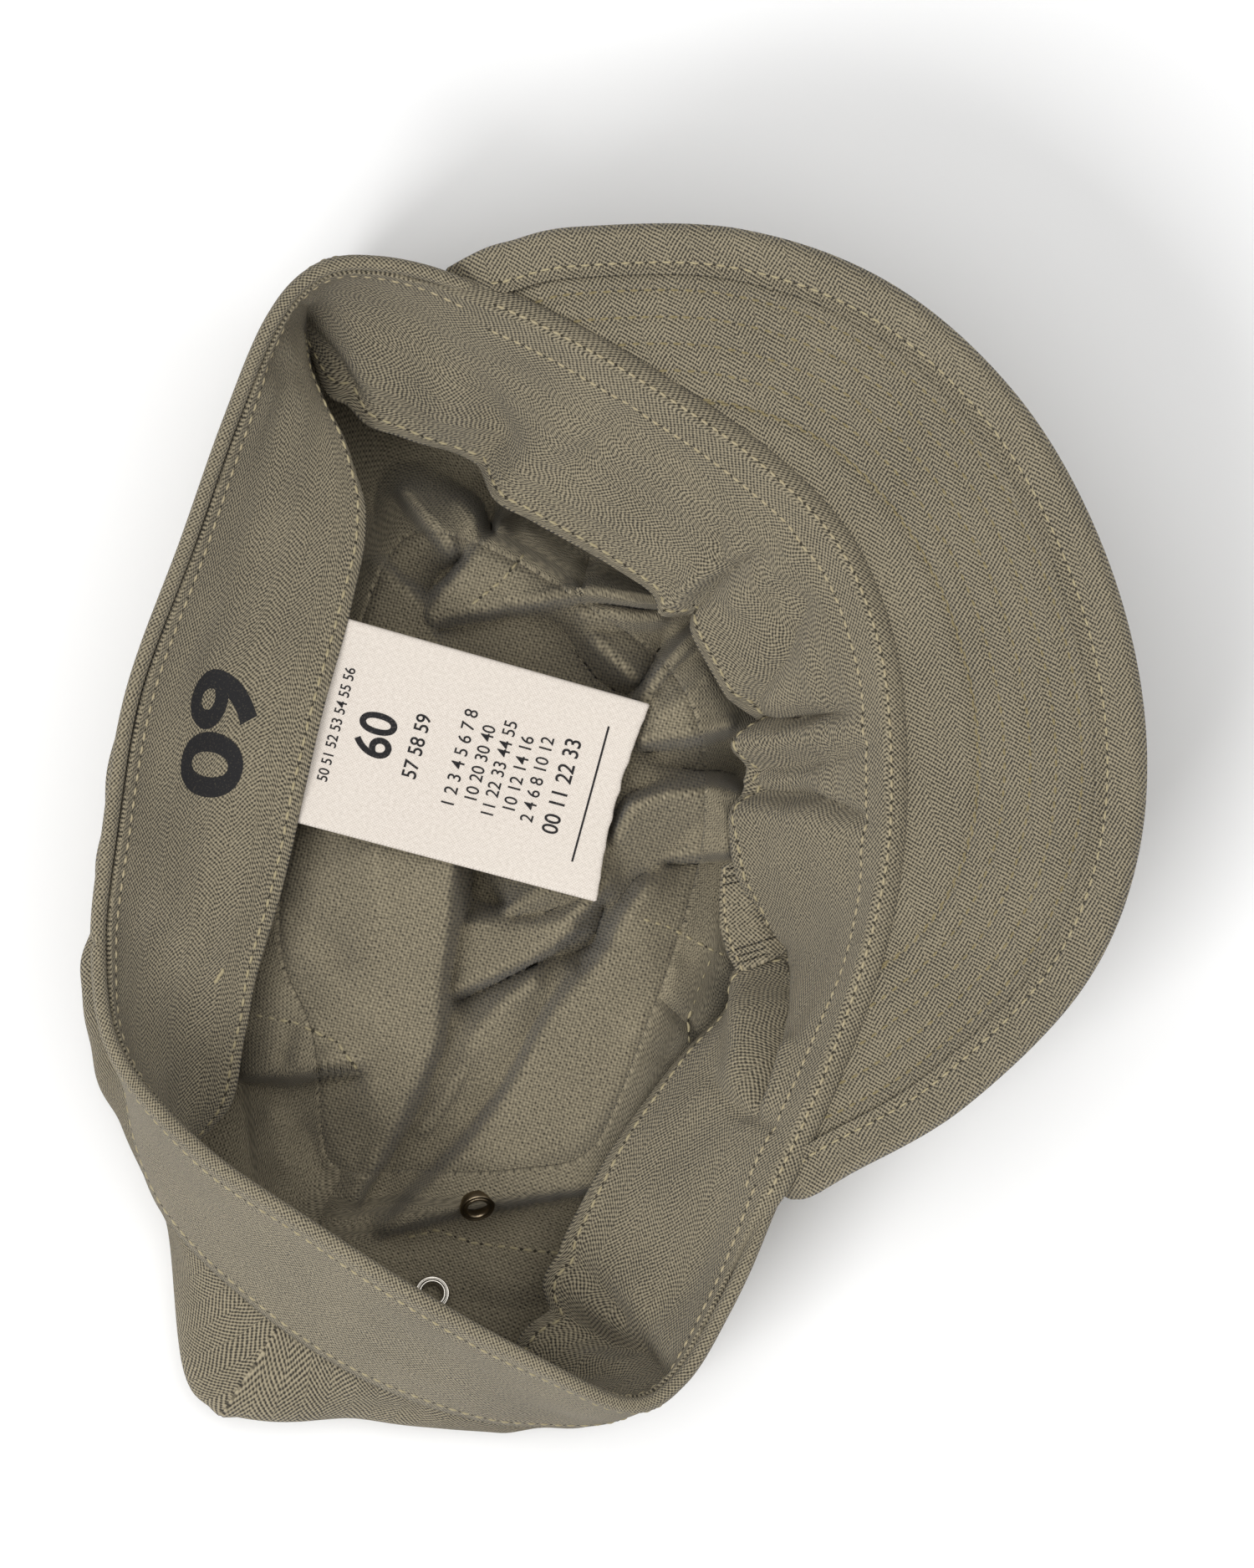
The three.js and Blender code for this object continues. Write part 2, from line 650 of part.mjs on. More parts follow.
// The peak's outer cloth: all over its top, round the edge and back as a hem.
function coverOutline(depth) {
  const inner = peakWall / 2 + seamGap;
  const outer = inner + clothWall;
  const hem = Math.min(hemWidth, depth * 0.8);
  const wrap = Math.min(clothWall, depth / 4);
  const spots = [1, 0.75, 0.5, 0.25].map((s) => wrap + (depth - wrap) * s);
  return [
    ...spots.map((x) => new THREE.Vector2(x, -outer)),
    new THREE.Vector2(wrap, -outer),
    new THREE.Vector2(0, -outer / 2),
    new THREE.Vector2(0, outer / 2),
    new THREE.Vector2(wrap, outer),
    new THREE.Vector2(hem, outer),
    new THREE.Vector2(hem, inner),
    new THREE.Vector2(wrap, inner),
    new THREE.Vector2(wrap, inner / 2),
    new THREE.Vector2(wrap, -inner / 2),
    new THREE.Vector2(wrap, -inner),
    ...spots.reverse().map((x) => new THREE.Vector2(x, -inner)),
  ];
}

function makePeak() {
  return [
    named("peak_under", sweepOf(peakSections(underOutline), false), twill()),
    named("peak_cover", sweepOf(peakSections(coverOutline), false), twill()),
  ];
}

// The label is sewn under the sweatband's hem, between two stations, and comes down to the
// folds at its far corners.
const labelSides = [
  { at: 12.2, far: new THREE.Vector3(6.4, 24, 25.5) },
  { at: 13.6, far: new THREE.Vector3(-4, -14.2, 25) },
];
const labelSewn = 0.95; // share of the sweatband's width where it is sewn on
const labelSag = 1.5;
function makeLabel() {
  const lengthSteps = 8;
  const widthSteps = 4;
  const under = (sweatWall + labelWall) / 2 + 3 * seamGap;
  const edges = labelSides.map(({ at, far }) => {
    const { across } = rimFrame(at);
    return { near: sweatPoint(at, labelSewn).addScaledVector(across, under), far };
  });
  const grid = Array.from({ length: lengthSteps + 1 }, (_, i) =>
    Array.from({ length: widthSteps + 1 }, (_, j) => {
      const [start, end] = edges.map(({ near, far }) => near.clone().lerp(far, i / lengthSteps));
      const point = start.lerp(end, j / widthSteps);
      point.z -= labelSag * Math.sin((Math.PI * i) / lengthSteps);
      return point;
    }),
  );
  return named("label", clothWallOf(grid, labelWall), cotton());
}

const cap = new THREE.Group();
cap.add(makeBand(), makeSweatband(), ...panelTable.map(makeCrownPanel), makeCrownTop());
cap.add(...makePeak(), ...eyeletPlaces.map(makeEyelet), makeLabel());
cap.rotation.z = THREE.MathUtils.degToRad(-90 - peakAngle);
const middle = new THREE.Box3().setFromObject(cap, true).getCenter(new THREE.Vector3());
cap.position.set(-middle.x, -middle.y, 0);

export default cap;
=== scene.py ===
# A field cap of herringbone twill that lies upside down on its soft crown.
# The tables are millimetres in the cap's own plan, where the peak points peakAngle round
# from +x. toFrame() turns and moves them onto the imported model, in metres.
import math

import bmesh
import bpy
import mathutils
import numpy as np
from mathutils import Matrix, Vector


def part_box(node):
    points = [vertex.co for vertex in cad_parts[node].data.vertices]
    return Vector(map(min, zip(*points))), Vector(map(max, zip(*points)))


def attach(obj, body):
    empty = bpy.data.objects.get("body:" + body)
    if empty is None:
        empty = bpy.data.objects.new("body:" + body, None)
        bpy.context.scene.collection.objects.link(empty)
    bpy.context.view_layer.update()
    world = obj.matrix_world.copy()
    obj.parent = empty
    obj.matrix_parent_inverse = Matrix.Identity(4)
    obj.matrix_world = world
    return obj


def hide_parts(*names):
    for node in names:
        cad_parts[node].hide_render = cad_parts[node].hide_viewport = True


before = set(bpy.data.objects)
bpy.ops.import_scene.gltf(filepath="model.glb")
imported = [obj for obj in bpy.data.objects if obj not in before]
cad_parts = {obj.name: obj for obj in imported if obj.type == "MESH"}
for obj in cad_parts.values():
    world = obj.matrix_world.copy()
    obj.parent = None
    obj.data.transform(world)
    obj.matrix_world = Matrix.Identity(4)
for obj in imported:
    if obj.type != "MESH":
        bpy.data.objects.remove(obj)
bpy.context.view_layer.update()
print("frame loaded")

# The sizes that the cap is cut to, in millimetres
cap = dict(
    bandHeight=44.0,
    bandWall=2.0,
    crownWall=1.0,
    crownSewn=1.5,  # how far the crown's edge goes up into the band
    seamGap=0.3,
    peakWall=2.4,
    clothWall=1.0,
    hemWidth=9.0,  # how far the peak's cloth is turned over its underside
    peakAngle=20.0,
)
# The sweatband. Along the peak, as far as frontEnds, it is turned up over the rim.
sweat = dict(
    wall=1.2,
    start=3.6,  # how far below the rim it is sewn on
    startFront=2.6,
    inside=1.9,  # how far inside the band's middle it lies there
    insideFront=1.1,  # and how much further
    turn=18.5,  # how far below the rim it stands clear of the band
    flatFront=0.75,  # how nearly it runs straight to its hem
    riseFront=1.5,
    upFront=1.15,  # how high it goes over the rim, and how far out
    overFront=2.1,
    frontMiddle=1.9,  # a rim station
    frontEnds=(4.6, 5.6),  # stations from there: still turned up, and no longer
    hemStitch=1.6,  # from its free edge to the hem's stitches
    gatherDepth=1.85,  # the gathers' charted depths are multiplied by this
)
# The crown, from the band's lower edge (share 0) to its centre (share 1)
crown = dict(
    centre=(-22.0, -4.0),
    widest=0.2,
    widestHigh=(5, 16),  # the least and the greatest height of the widest line
    ground=0.35,
    floorInset=14.0,  # from the widest line in to where it meets the ground
    ring=0.58,  # where the side panels meet the top piece
    lap=0.012,  # how far the top piece goes under them
    lapDrop=1.1,  # and how much lower it lies there
    tuck=8.0,  # how far the cloth runs straight on from the band before it swells
    gathers=(1.1, 0.35),  # the depth of the long ones and of the short ones
    underBand=2.4,  # how far the cloth draws in under the band's lower edge
    seamSink=0.9,  # how far a panel's edges are drawn in, and over what width
    seamWide=1.6,
)
capTurn = math.radians(-90 - cap["peakAngle"])

# The rim, counter-clockwise from the front. lean: how far the band's lower edge lies
# outside it. out: how far the crown swells outside it.
rimColumns = "x y z lean out"
rimRows = [
    (55.7, -6.7, 55, -21, -3),
    (56.5, 15, 56, -21, -3),
    (54, 36.7, 57, -21, -3),
    (45.7, 56.7, 58, -21, -3),
    (30.7, 72.5, 59, -21, -3),
    (10.7, 86.7, 60, -21, -4),
    (-9.3, 98.3, 61, -20, -4),
    (-29, 106.8, 62, -16, -4),
    (-45.8, 110.6, 64, -8, -4),
    (-58, 108.6, 66, -2, -4),
    (-67.3, 99, 68, -8, -4),
    (-76, 79, 69, -18, -3),
    (-84.3, 56, 69, -22, -2.5),
    (-95, 26.5, 68, -23, 0.5),
    (-99.8, -1.7, 66, -22, 1.5),
    (-101.7, -23.3, 64, -16, 3),
    (-97.7, -44.2, 63, -2, 5),
    (-81, -62.5, 63, 14, 14.5),
    (-59.3, -77.5, 62, 20, 42.5),
    (-36, -92.5, 60, 20, 29),
    (-14.3, -105, 57, 14, 14),
    (2.3, -113, 54, 3, 1),
    (13.2, -108.3, 52, -8, -2),
    (22.3, -94.2, 52, -17, -3),
    (32.3, -73.3, 52, -21, -3),
    (42.3, -51.7, 53, -21, -3),
    (50.7, -28.3, 54, -15, -3),
]
stations = len(rimRows)
stationWide = 22  # about the millimetres of rim to a station, for waves that go round it

# The sweatband's free edge: the rim station that it hangs from, its place in plan, and
# how far it is pushed up from hanging at its full width.
hemColumns = "at x y lift"
hemRows = [
    (0, 24, -8.3, 0),
    (0.5, 23.7, 1, 0),
    (1, 25.5, 14, 0),
    (2, 22, 25.5, 0),
    (3, 12.7, 42, 0),
    (4, 0, 51.5, 0),
    (5, -16, 60.5, 0),
    (5.5, -23, 64.5, 0),
    (6, -27.3, 71.7, 0),
    (7, -41, 76.7, 0),
    (8, -55, 82, 0),
    (9, -59.6, 93.2, 3),
    (10, -55.8, 85, 17),
    (10.6, -52, 72, 10),
    (11, -49.2, 62.5, 4),
    (12, -51.8, 45, 0),
    (13, -58.5, 20, 0),
    (14, -65.2, -10, 0),
    (15, -72.3, -33.3, 0),
    (16, -76, -53, 0),
    (17, -86, -69.5, 0),
    (18, -66.5, -88, 0),
    (19, -43, -102, 0),
    (20, -20, -110, 0),
    (21, -19.5, -104, 0),
    (22, -16.8, -96.7, 0),
    (23, -11.8, -85, 0),
    (24, -0.2, -63.3, 0),
    (25, 12.7, -45.8, 0),
    (26, 28.2, -28.3, 0),
    (26.5, 29.8, -20.5, 0),
]

# The peak, from its far end to its near end: its outer edge, how far that edge stands
# above the root, and the rim station of the root.
peakColumns = "x y rise root"
peakRows = [
    (-31.5, 111.4, -1, 7.2),
    (-21.5, 113.9, 2, 6.5),
    (-7.7, 116.6, 7, 5.85),
    (24, 116, 14, 4.58),
    (53.3, 105.2, 19, 3.6),
    (77.5, 83.5, 22, 2.85),
    (93.5, 55.5, 24, 2),
    (101.8, 24.5, 24, 1.2),
    (101, -5, 23, 0.35),
    (90.3, -31, 20, -0.46),
    (67.2, -54.5, 13, -1.4),
    (45, -67.8, 4, -2.4),
    (37.4, -73.2, -1, -2.9),
]

# Creases of the crown's cloth inside: the points of a crest or a valley with their heights,
# how far the cloth drops on the line's right-hand side, and over what distance.
creaseRows = [
    # the cavity under the far end of the sweatband, and the two pillows beside it
    ([(-51.5, 80, 3), (-49, 70, 2), (-46.6, 62, 4)], 0, 0),
    ([(-43.4, 75, 3), (-35.2, 71, 5), (-26.2, 65, 2), (-23.8, 57.5, 2)], 0, 0),
    ([(-41, 67, 13), (-36.5, 60.5, 17), (-32.5, 55, 17)], 7, 2),
    ([(-46, 56, 9), (-43.5, 50, 10), (-38.5, 46.6, 6)], 0, 0),
    ([(-31.5, 64.5, 12), (-27.9, 60.3, 15), (-27.5, 57, 14)], 0, 0),
    ([(-30.4, 53.4, 3), (-33.6, 49.7, 1.5), (-37.6, 46.7, 3)], 0, 0),
    # the wedge that lies over them, and the narrow strip below it
    ([(-37.2, 41.2, 17), (-34.6, 46.6, 18), (-28.9, 51.6, 18), (-22.2, 59, 16)], 0, 0),
    ([(-36.8, 40.4, 17), (-28.7, 42.8, 18), (-22.2, 44.4, 18)], 9, 1.8),
    ([(-17, 58, 14), (-11.5, 52, 14), (-4, 52, 10)], 0, 0),
    ([(-15.6, 46.4, 16), (-5.9, 47.8, 14), (0.7, 49.8, 12)], 0, 0),
    ([(-22.2, 44.4, 17), (-16, 44.8, 17.5), (-5.9, 45.4, 18), (9, 45.4, 18)], 7, 1.6),
    # the folds below the strip, as far as the label
    ([(-7.5, 41.8, 13), (0.7, 42, 15), (9, 42, 14)], 0, 0),
    ([(-6.5, 38.4, 11), (3.9, 39.2, 10), (10.4, 40.4, 9)], 0, 0),
    ([(-15.6, 42, 8), (-11.6, 38.4, 6), (-8.3, 33.4, 5), (-3.4, 29, 5), (3.9, 26, 6)], 0, 0),
    ([(-33, 33, 12), (-24, 33, 14), (-15, 30, 13)], 0, 0),
    ([(-5, 36.6, 14), (0, 33.2, 15), (4.7, 30, 14)], 0, 0),
    ([(10.2, 38, 8), (8, 32.6, 7), (4, 27.4, 7)], 0, 0),
    ([(17, 39, 16), (14.3, 36.4, 18), (9.6, 31.4, 19), (5.8, 25.6, 17)], 8, 1.8),
    ([(16.4, 34.8, 15), (11.6, 31.2, 15), (8.4, 27.4, 15)], 0, 0),
    # the lit panel beside the label's corner, with the dark fold below it
    ([(9, 22, 18), (15, 26, 19), (19, 30, 17)], 0, 0),
    ([(24, 32, 12), (26, 24, 13)], 0, 0),
    ([(5.5, 17, 17), (15.3, 18.7, 19), (22.7, 20.3, 17)], 8, 1.8),
    ([(5.5, 13, 11), (10.4, 11.6, 8), (15.3, 11.2, 5), (18.6, 11.2, 5), (24, 10, 4)], 0, 0),
    # the big rounded fold from under the label to the front, and the facets below it
    ([(24.8, 6.2, 17), (18.6, 8, 19), (10.4, 6.8, 20), (3.9, 3.6, 19), (1, -2.5, 17)], 8, 2),
    ([(16.4, 4.3, 18), (15, 0.6, 15), (11.2, -3.3, 12.5), (9, -6.5, 11)], 0, 0),
    ([(19, 4.8, 18.5), (21.8, 0, 17.5), (21.8, -4, 17)], 0, 0),
    ([(9.6, -6, 13), (15.3, -5, 15), (22, -4.3, 17)], 6, 1.4),
    ([(-0.2, -9.4, 12), (4.7, -8.4, 11), (8.8, -7, 11)], 0, 0),
    ([(24, -12, 12), (23, -20, 11), (22, -28, 10)], 0, 0),
    # the two thin folds at the label's lower corner
    ([(-22, -16.2, 13), (-14.8, -11.6, 17), (-7.5, -9, 18), (-3, -6, 18)], 0, 0),
    ([(-20, -17.6, 11), (-12.4, -16.2, 13), (-5.9, -13.6, 16)], 0, 0),
    ([(-20.5, -19, 14), (-14, -19.8, 17), (-7.8, -17.8, 18), (-3, -13.2, 18), (0, -9.6, 15)], 0, 0),
    # the hole under the label, and the lit panel below it with its crisp lower edge
    ([(-28.6, -6, 2), (-27.5, -12.5, 1), (-22.5, -15, 2)], 0, 0),
    ([(-31, -18.8, 13), (-26, -18.4, 14), (-21, -19, 14)], 0, 0),
    (
        [(-33.6, -32.8, 13), (-28.7, -30.6, 15), (-22.2, -28, 16), (-14, -24.5, 17), (-7.5, -20, 17)],
        10, 1.8,
    ),
    ([(-1.3, -15.5, 5), (-2.6, -21, 3), (-4.5, -24.9, 3), (-10, -27, 6)], 0, 0),
    # the long fold beside the big left panel
    ([(-16, -31, 15), (-22, -34.2, 15.5), (-28.2, -40, 14.5), (-33, -51, 12), (-38.5, -60.3, 9)], 0, 0),
    ([(-28.7, -45, 12.5), (-34.5, -57, 8), (-43, -69.5, 5)], 0, 0),
    # the big front panel, from its crisp left edge to the fold above the near eyelet
    ([(8, -11, 15), (5.9, -13, 17), (2.6, -18, 18), (-0.2, -24.5, 18.5), (-5.9, -30.6, 18)], 9, 2.4),
    ([(-5.9, -30.6, 18), (-10.8, -36.7, 18), (-15.6, -44.3, 17.5), (-20.2, -51.3, 17)], 6, 2.6),
    (
        [(-20.2, -51.3, 17), (-26.2, -59, 16), (-31.9, -66, 15), (-38.5, -73.4, 13), (-43.4, -78.6, 12)],
        7, 2.6,
    ),
    ([(12, -27, 16), (3, -46, 16), (-6, -60, 15)], 0, 0),
    ([(-46, -79.8, 10), (-38.5, -77.9, 13), (-35.2, -76.9, 14), (-28.7, -74.7, 15)], 8, 1.8),
    ([(-28.7, -74.7, 15), (-18.9, -73, 15), (-6.7, -71.4, 14), (0, -70.5, 12)], 8, 1.8),
    ([(-43, -83.5, 4), (-28.7, -86, 6), (-19, -91, 6), (-8, -84, 6)], 0, 0),
    # the big left panel: its crisp right edge, its back and its lower edge over the dark one
    ([(-52.3, -73.4, 9), (-48.2, -66.8, 12), (-43.7, -58.7, 15), (-39.8, -50.5, 18)], 9, 2.4),
    (
        [(-39.8, -50.5, 18), (-36.8, -42.4, 19), (-34.9, -34.2, 20), (-33.3, -26.1, 21),
         (-31.9, -17.9, 22)],
        9, 1.6,
    ),
    ([(-31.9, -17.9, 22), (-31.6, -8.2, 23), (-31.6, -1.6, 23), (-34, 10, 20), (-36, 24, 17)], 15, 2.6),
    ([(-46.6, -4, 24), (-46.6, -26.1, 23), (-47.2, -39.1, 20)], 0, 0),
    ([(-62, 4, 18), (-66, -11.4, 17), (-71, -26.1, 15), (-74, -39.1, 13)], 0, 0),
    ([(-75, -48.8, 11), (-64.5, -48.9, 15), (-54.8, -47.3, 18), (-49.6, -47.6, 19)], 8, 1.6),
    ([(-47, -51, 17), (-47.6, -58, 14), (-51, -66, 9)], 0, 0),
    ([(-68, -57, 7), (-60, -60, 6), (-58, -68, 5), (-66, -66, 7)], 0, 0),
    # the strip beside the back of the sweatband, from the cavity down to the label
    ([(-47.6, 52, 13), (-41.7, 47.3, 15), (-37.9, 41.8, 15), (-35.4, 36, 14)], 0, 0),
    ([(-52, 40, 14), (-55, 25, 17), (-58, 12, 18)], 0, 0),
    ([(-20, 18, 17), (-8, 16, 17), (-4, 4, 18), (-14, 0, 18)], 0, 0),
]
# Hollows pressed into it: the points of each with its depth there, and how wide it is.
dentRows = [
    ([(-63, -19, 1.2), (-55, -25, 1.8)], 3.5),
    ([(-66, -25, 1.2), (-60, -34, 2.0), (-47, -44, 1.2)], 4),
    ([(-64.5, -45, 2.2), (-63.5, -40, 1.2)], 2),
    ([(-57.5, -44.5, 1.6), (-56, -41, 0.8)], 1.8),
    ([(13, -24.5, 1.4), (8, -31.5, 1.6), (1, -34.8, 1.0)], 3.2),
    ([(-1, -41, 1.0), (10, -45, 0.8)], 2),
    ([(-33, -46, 1.2), (-38, -56, 1.4)], 3),
]
# The map of their heights. puff: how much the cloth bulges between two creases. steeper and
# sink: the charted heights are multiplied by the one and lowered by the other. frontLift:
# how much higher the folds stand towards the peak, as a share.
foldMap = dict(
    low=(-124.0, -130.0),
    high=(66.0, 124.0),
    pitch=0.6,
    puff=0.012,
    passes=420,  # steps in which the sheet settles between the creases
    overStep=1.92,  # each step goes this much too far, so that the sheet settles sooner
    soften=1,  # rounds of smoothing at the end
    steeper=1.5,
    sink=5.8,
    frontLift=0.14,
    stray=0.7,  # how far the creases wander from their straight lines
    rumple=0.28,  # fine unevenness over all of it
    least=0.4,
)
# Gathers of the sweatband in plan: the points of each with how far it stands into the
# hollow there, the width of its left and its right flank, and how round it is.
gatherRows = [
    ([(-15.6, 65.2, -0.4), (-6, 73, -1.2), (2.3, 79.9, -0.6)], 3.5, 2, 2),
    ([(-22.2, 75, -1.6), (-28.7, 89.7, -0.8)], 4, 4, 2),
    ([(12.9, 40.8, -2.2), (18.6, 47.3, -2.2), (23.5, 51.4, -1.6), (27.5, 54, -0.6)], 1, 1.6, 1.2),
    ([(10.8, 43, 1.6), (16.6, 49.4, 1.6), (21.4, 53.2, 0.8)], 2.6, 2.0, 1.6),
    ([(20.5, 58.5, -0.5), (21.2, 52.2, -1.2)], 1.4, 1.4, 1.4),
    ([(25, 45, 1.0), (35.7, 54, 0.8)], 3, 3, 2),
    ([(24.8, 24.5, -2.0), (31.6, 32.6, -1.6), (36.5, 44, -1.0)], 1.6, 3, 1.6),
    ([(25, 20.9, -3.4), (34.9, 21.5, -3.0), (44.7, 22.8, -0.8)], 1.8, 1.8, 1.4),
    ([(26.7, 16.4, 1.6), (36.5, 17.9, 1.4), (47.9, 19.6, 0.5)], 2.6, 2.6, 2),
    ([(26.7, 11.2, -1.6), (36.5, 12.6, -1.4), (49.6, 16.3, -0.5)], 1.6, 1.6, 1.6),
    ([(26.7, 7.3, -3.0), (36.5, 6.8, -2.6), (46.3, 3.3, -1.6), (49.6, 0.8, -0.5)], 1.2, 2.2, 1.3),
    ([(26.7, 3.2, 1.2), (38.1, 1.8, 1.2), (46.3, -1.6, 0.5)], 3, 4, 2),
    ([(30.8, -23.6, -3.2), (30.6, -34.2, -3.4), (29.2, -45.6, -2.4), (27.3, -56, -0.8)], 2.2, 1.0, 1.2),
    ([(27.4, -24, 2.2), (26.6, -37, 2.0), (24.2, -52, 0.8)], 2.6, 3, 2),
    ([(26.7, -58, 0.4), (31.2, -52.2, 1.0), (34, -43, 1.0)], 1.6, 1.6, 1.6),
    ([(20, -50, -0.4), (25, -56, -1.0), (31, -58, -0.6)], 1.8, 1.8, 2),
    ([(-15.6, -92.9, -2.0), (-5.9, -97.8, -3.4), (2.3, -99.6, -3.4), (9.6, -106, -1.4)], 2.2, 4, 1.5),
    ([(-9.1, -84.8, -0.8), (0.7, -94.5, -1.4)], 2.4, 2.4, 2),
    ([(-60.5, 99, -2.6), (-52, 83, -3.0)], 2.4, 3.6, 1.5),
    ([(-66, 90, -1.4), (-61, 88, -1.0)], 3, 3, 2),
    ([(-75, 30, -0.6), (-72, 8, -0.8)], 7, 7, 2),
    ([(-86, -18, 0.7), (-78, -36, 0.6)], 6, 6, 2),
]


# Smooth lines through the tables

def column(rows, columns, name):
    return np.array([row[columns.split().index(name)] for row in rows], float)


def hermite(t, ta, va, tb, vb, tc, vc, td, vd):
    # a cubic from b to c that leaves each with the slope of its neighbours
    span = tc - tb
    s = (t - tb) / span
    slopeB = (vc - va) / (tc - ta) * span
    slopeC = (vd - vb) / (td - tb) * span
    return (
        (2 * s**3 - 3 * s**2 + 1) * vb
        + (s**3 - 2 * s**2 + s) * slopeB
        + (3 * s**2 - 2 * s**3) * vc
        + (s**3 - s**2) * slopeC
    )


def around(rows, columns, name, at):
    # a column's smooth value at rim stations, which go round the cap
    value = column(rows, columns, name)
    place = column(rows, columns, "at") if "at" in columns.split() else np.arange(len(rows))
    t = np.mod(at, stations)
    value = np.concatenate([value[-2:], value, value[:3]])
    place = np.concatenate([place[-2:] - stations, place, place[:3] + stations])
    i = np.searchsorted(place, t, side="right") - 1
    near = [(place[i + k], value[i + k]) for k in (-1, 0, 1, 2)]
    return hermite(t, *[x for pair in near for x in pair])


def along(rows, columns, name, share):
    # a column's smooth value along rows that have two ends
    value = column(rows, columns, name)
    last = len(rows) - 1
    t = np.asarray(share, float) * last
    i = np.clip(np.floor(t).astype(int), 0, last - 1)
    near = [(i + k, value[np.clip(i + k, 0, last)]) for k in (-1, 0, 1, 2)]
    return hermite(t, *[x for pair in near for x in pair])


def smooth(low, high, x):
    s = np.clip((x - low) / (high - low), 0, 1)
    return s * s * (3 - 2 * s)


def unit(v):
    return v / np.maximum(np.linalg.norm(v, axis=-1, keepdims=True), 1e-9)


def stack(*parts):
    return np.stack(np.broadcast_arrays(*parts), axis=-1).astype(float)


def push(points, way, by):
    return points + way * np.asarray(by, float)[..., None]


def mix(a, b, share):
    return a + (b - a) * np.asarray(share, float)[..., None]


def ripple(x, y, size, seed):
    # smooth irregular waves about 0, with a typical wavelength of size
    rng = np.random.default_rng(seed)
    total = 0 * x
    waves = 14
    for _ in range(waves):
        turn, phase = rng.uniform(0, 2 * math.pi, 2)
        rate = 2 * math.pi / (size * rng.uniform(0.7, 1.6))
        total = total + np.sin(rate * (x * math.cos(turn) + y * math.sin(turn)) + phase)
    return total / math.sqrt(waves)


# The cap's surfaces, as functions of where a point lies on them

def rimPoint(at):
    return stack(*[around(rimRows, rimColumns, name, at) for name in "xyz"])


def rimFrame(at):
    # the way out in plan, the way down the band's wall, and the way out of that wall
    run = rimPoint(at + 0.05) - rimPoint(at - 0.05)
    out = unit(stack(run[..., 1], -run[..., 0], 0))
    lean = around(rimRows, rimColumns, "lean", at) / cap["bandHeight"]
    drop = np.sqrt(1 - lean**2)
    up = np.array([0.0, 0.0, 1.0])
    down = out * lean[..., None] - up * drop[..., None]
    across = out * drop[..., None] + up * lean[..., None]
    return out, down, across


def bandPoint(at, downBy, outBy):
    down, across = rimFrame(at)[1:]
    return push(push(rimPoint(at), down, downBy), across, outBy)


def hemPoint(at):
    x = around(hemRows, hemColumns, "x", at)
    y = around(hemRows, hemColumns, "y", at)
    rim = rimPoint(at)
    plan = np.hypot(x - rim[..., 0], y - rim[..., 1])
    drop = np.sqrt(np.maximum(cap["bandHeight"] ** 2 - plan**2, 0))
    return stack(x, y, rim[..., 2] - drop + around(hemRows, hemColumns, "lift", at))


def stationGap(at, place):
    # the shorter way round from one station to another
    gap = at - place
    return gap - stations * np.round(gap / stations)


def frontShare(at):
    # 1 along the peak, where the sweatband runs up over the rim, 0 where the rim is rolled
    return 1 - smooth(*sweat["frontEnds"], np.abs(stationGap(at, sweat["frontMiddle"])))


def gathered(x, y):
    # how far the sweatband's gathers stand into the hollow at a place in plan
    stand = 0 * x
    for points, left, right, rounded in gatherRows:
        gap, side, high = nearLine(points, x, y)
        wide = right + (left - right) * (0.5 + 0.5 * side)
        stand = stand + high * np.exp(-((gap / wide) ** rounded))
    return stand * sweat["gatherDepth"]


def sweatPoint(at, share):
    # the sweatband from its sewn edge (share 0) to its hem (share 1)
    front = frontShare(at)
    startBy = sweat["start"] * (1 - front) + sweat["startFront"] * front
    top = bandPoint(at, startBy, -sweat["inside"] - sweat["insideFront"] * front)
    turn = bandPoint(at, sweat["turn"], -sweat["inside"])
    flat = mix(top, hemPoint(at), 0.45) + np.array([0, 0, sweat["riseFront"]])
    turn = mix(turn, flat, sweat["flatFront"] * front)
    s = np.asarray(share, float)[..., None]
    point = top * (1 - s) ** 2 + turn * 2 * s * (1 - s) + hemPoint(at) * s**2
    across = rimFrame(at)[2]
    return push(point, across, -gathered(point[..., 0], point[..., 1]) * smooth(0.02, 0.2, share))


def sweatWrap(at, over):
    # its edge along the peak, which goes over the rim; over runs from 0 to 1
    front = frontShare(at)
    top = sweatPoint(at, 0 * at * over)
    down, across = rimFrame(at)[1:]
    up = front * sweat["upFront"] * np.sin(over * math.pi * 0.8)
    outBy = front * sweat["overFront"] * (1 - np.cos(over * math.pi * 0.9))
    return push(push(top, down, -up), across, outBy)


def nearLine(points, x, y):
    # the distance to a line, how far to its left (-1 to 1) that lies, and its value there
    best = None
    for (x0, y0, v0), (x1, y1, v1) in zip(points, points[1:]):
        dx, dy = x1 - x0, y1 - y0
        length = math.hypot(dx, dy)
        run = np.clip(((x - x0) * dx + (y - y0) * dy) / length**2, 0, 1)
        awayX, awayY = x - x0 - run * dx, y - y0 - run * dy
        gap = np.hypot(awayX, awayY)
        side = (dx * awayY - dy * awayX) / length / np.maximum(gap, 1e-6)
        found = np.stack([gap, side, v0 + (v1 - v0) * run])
        best = found if best is None else np.where(gap < best[0], found, best)
    return best


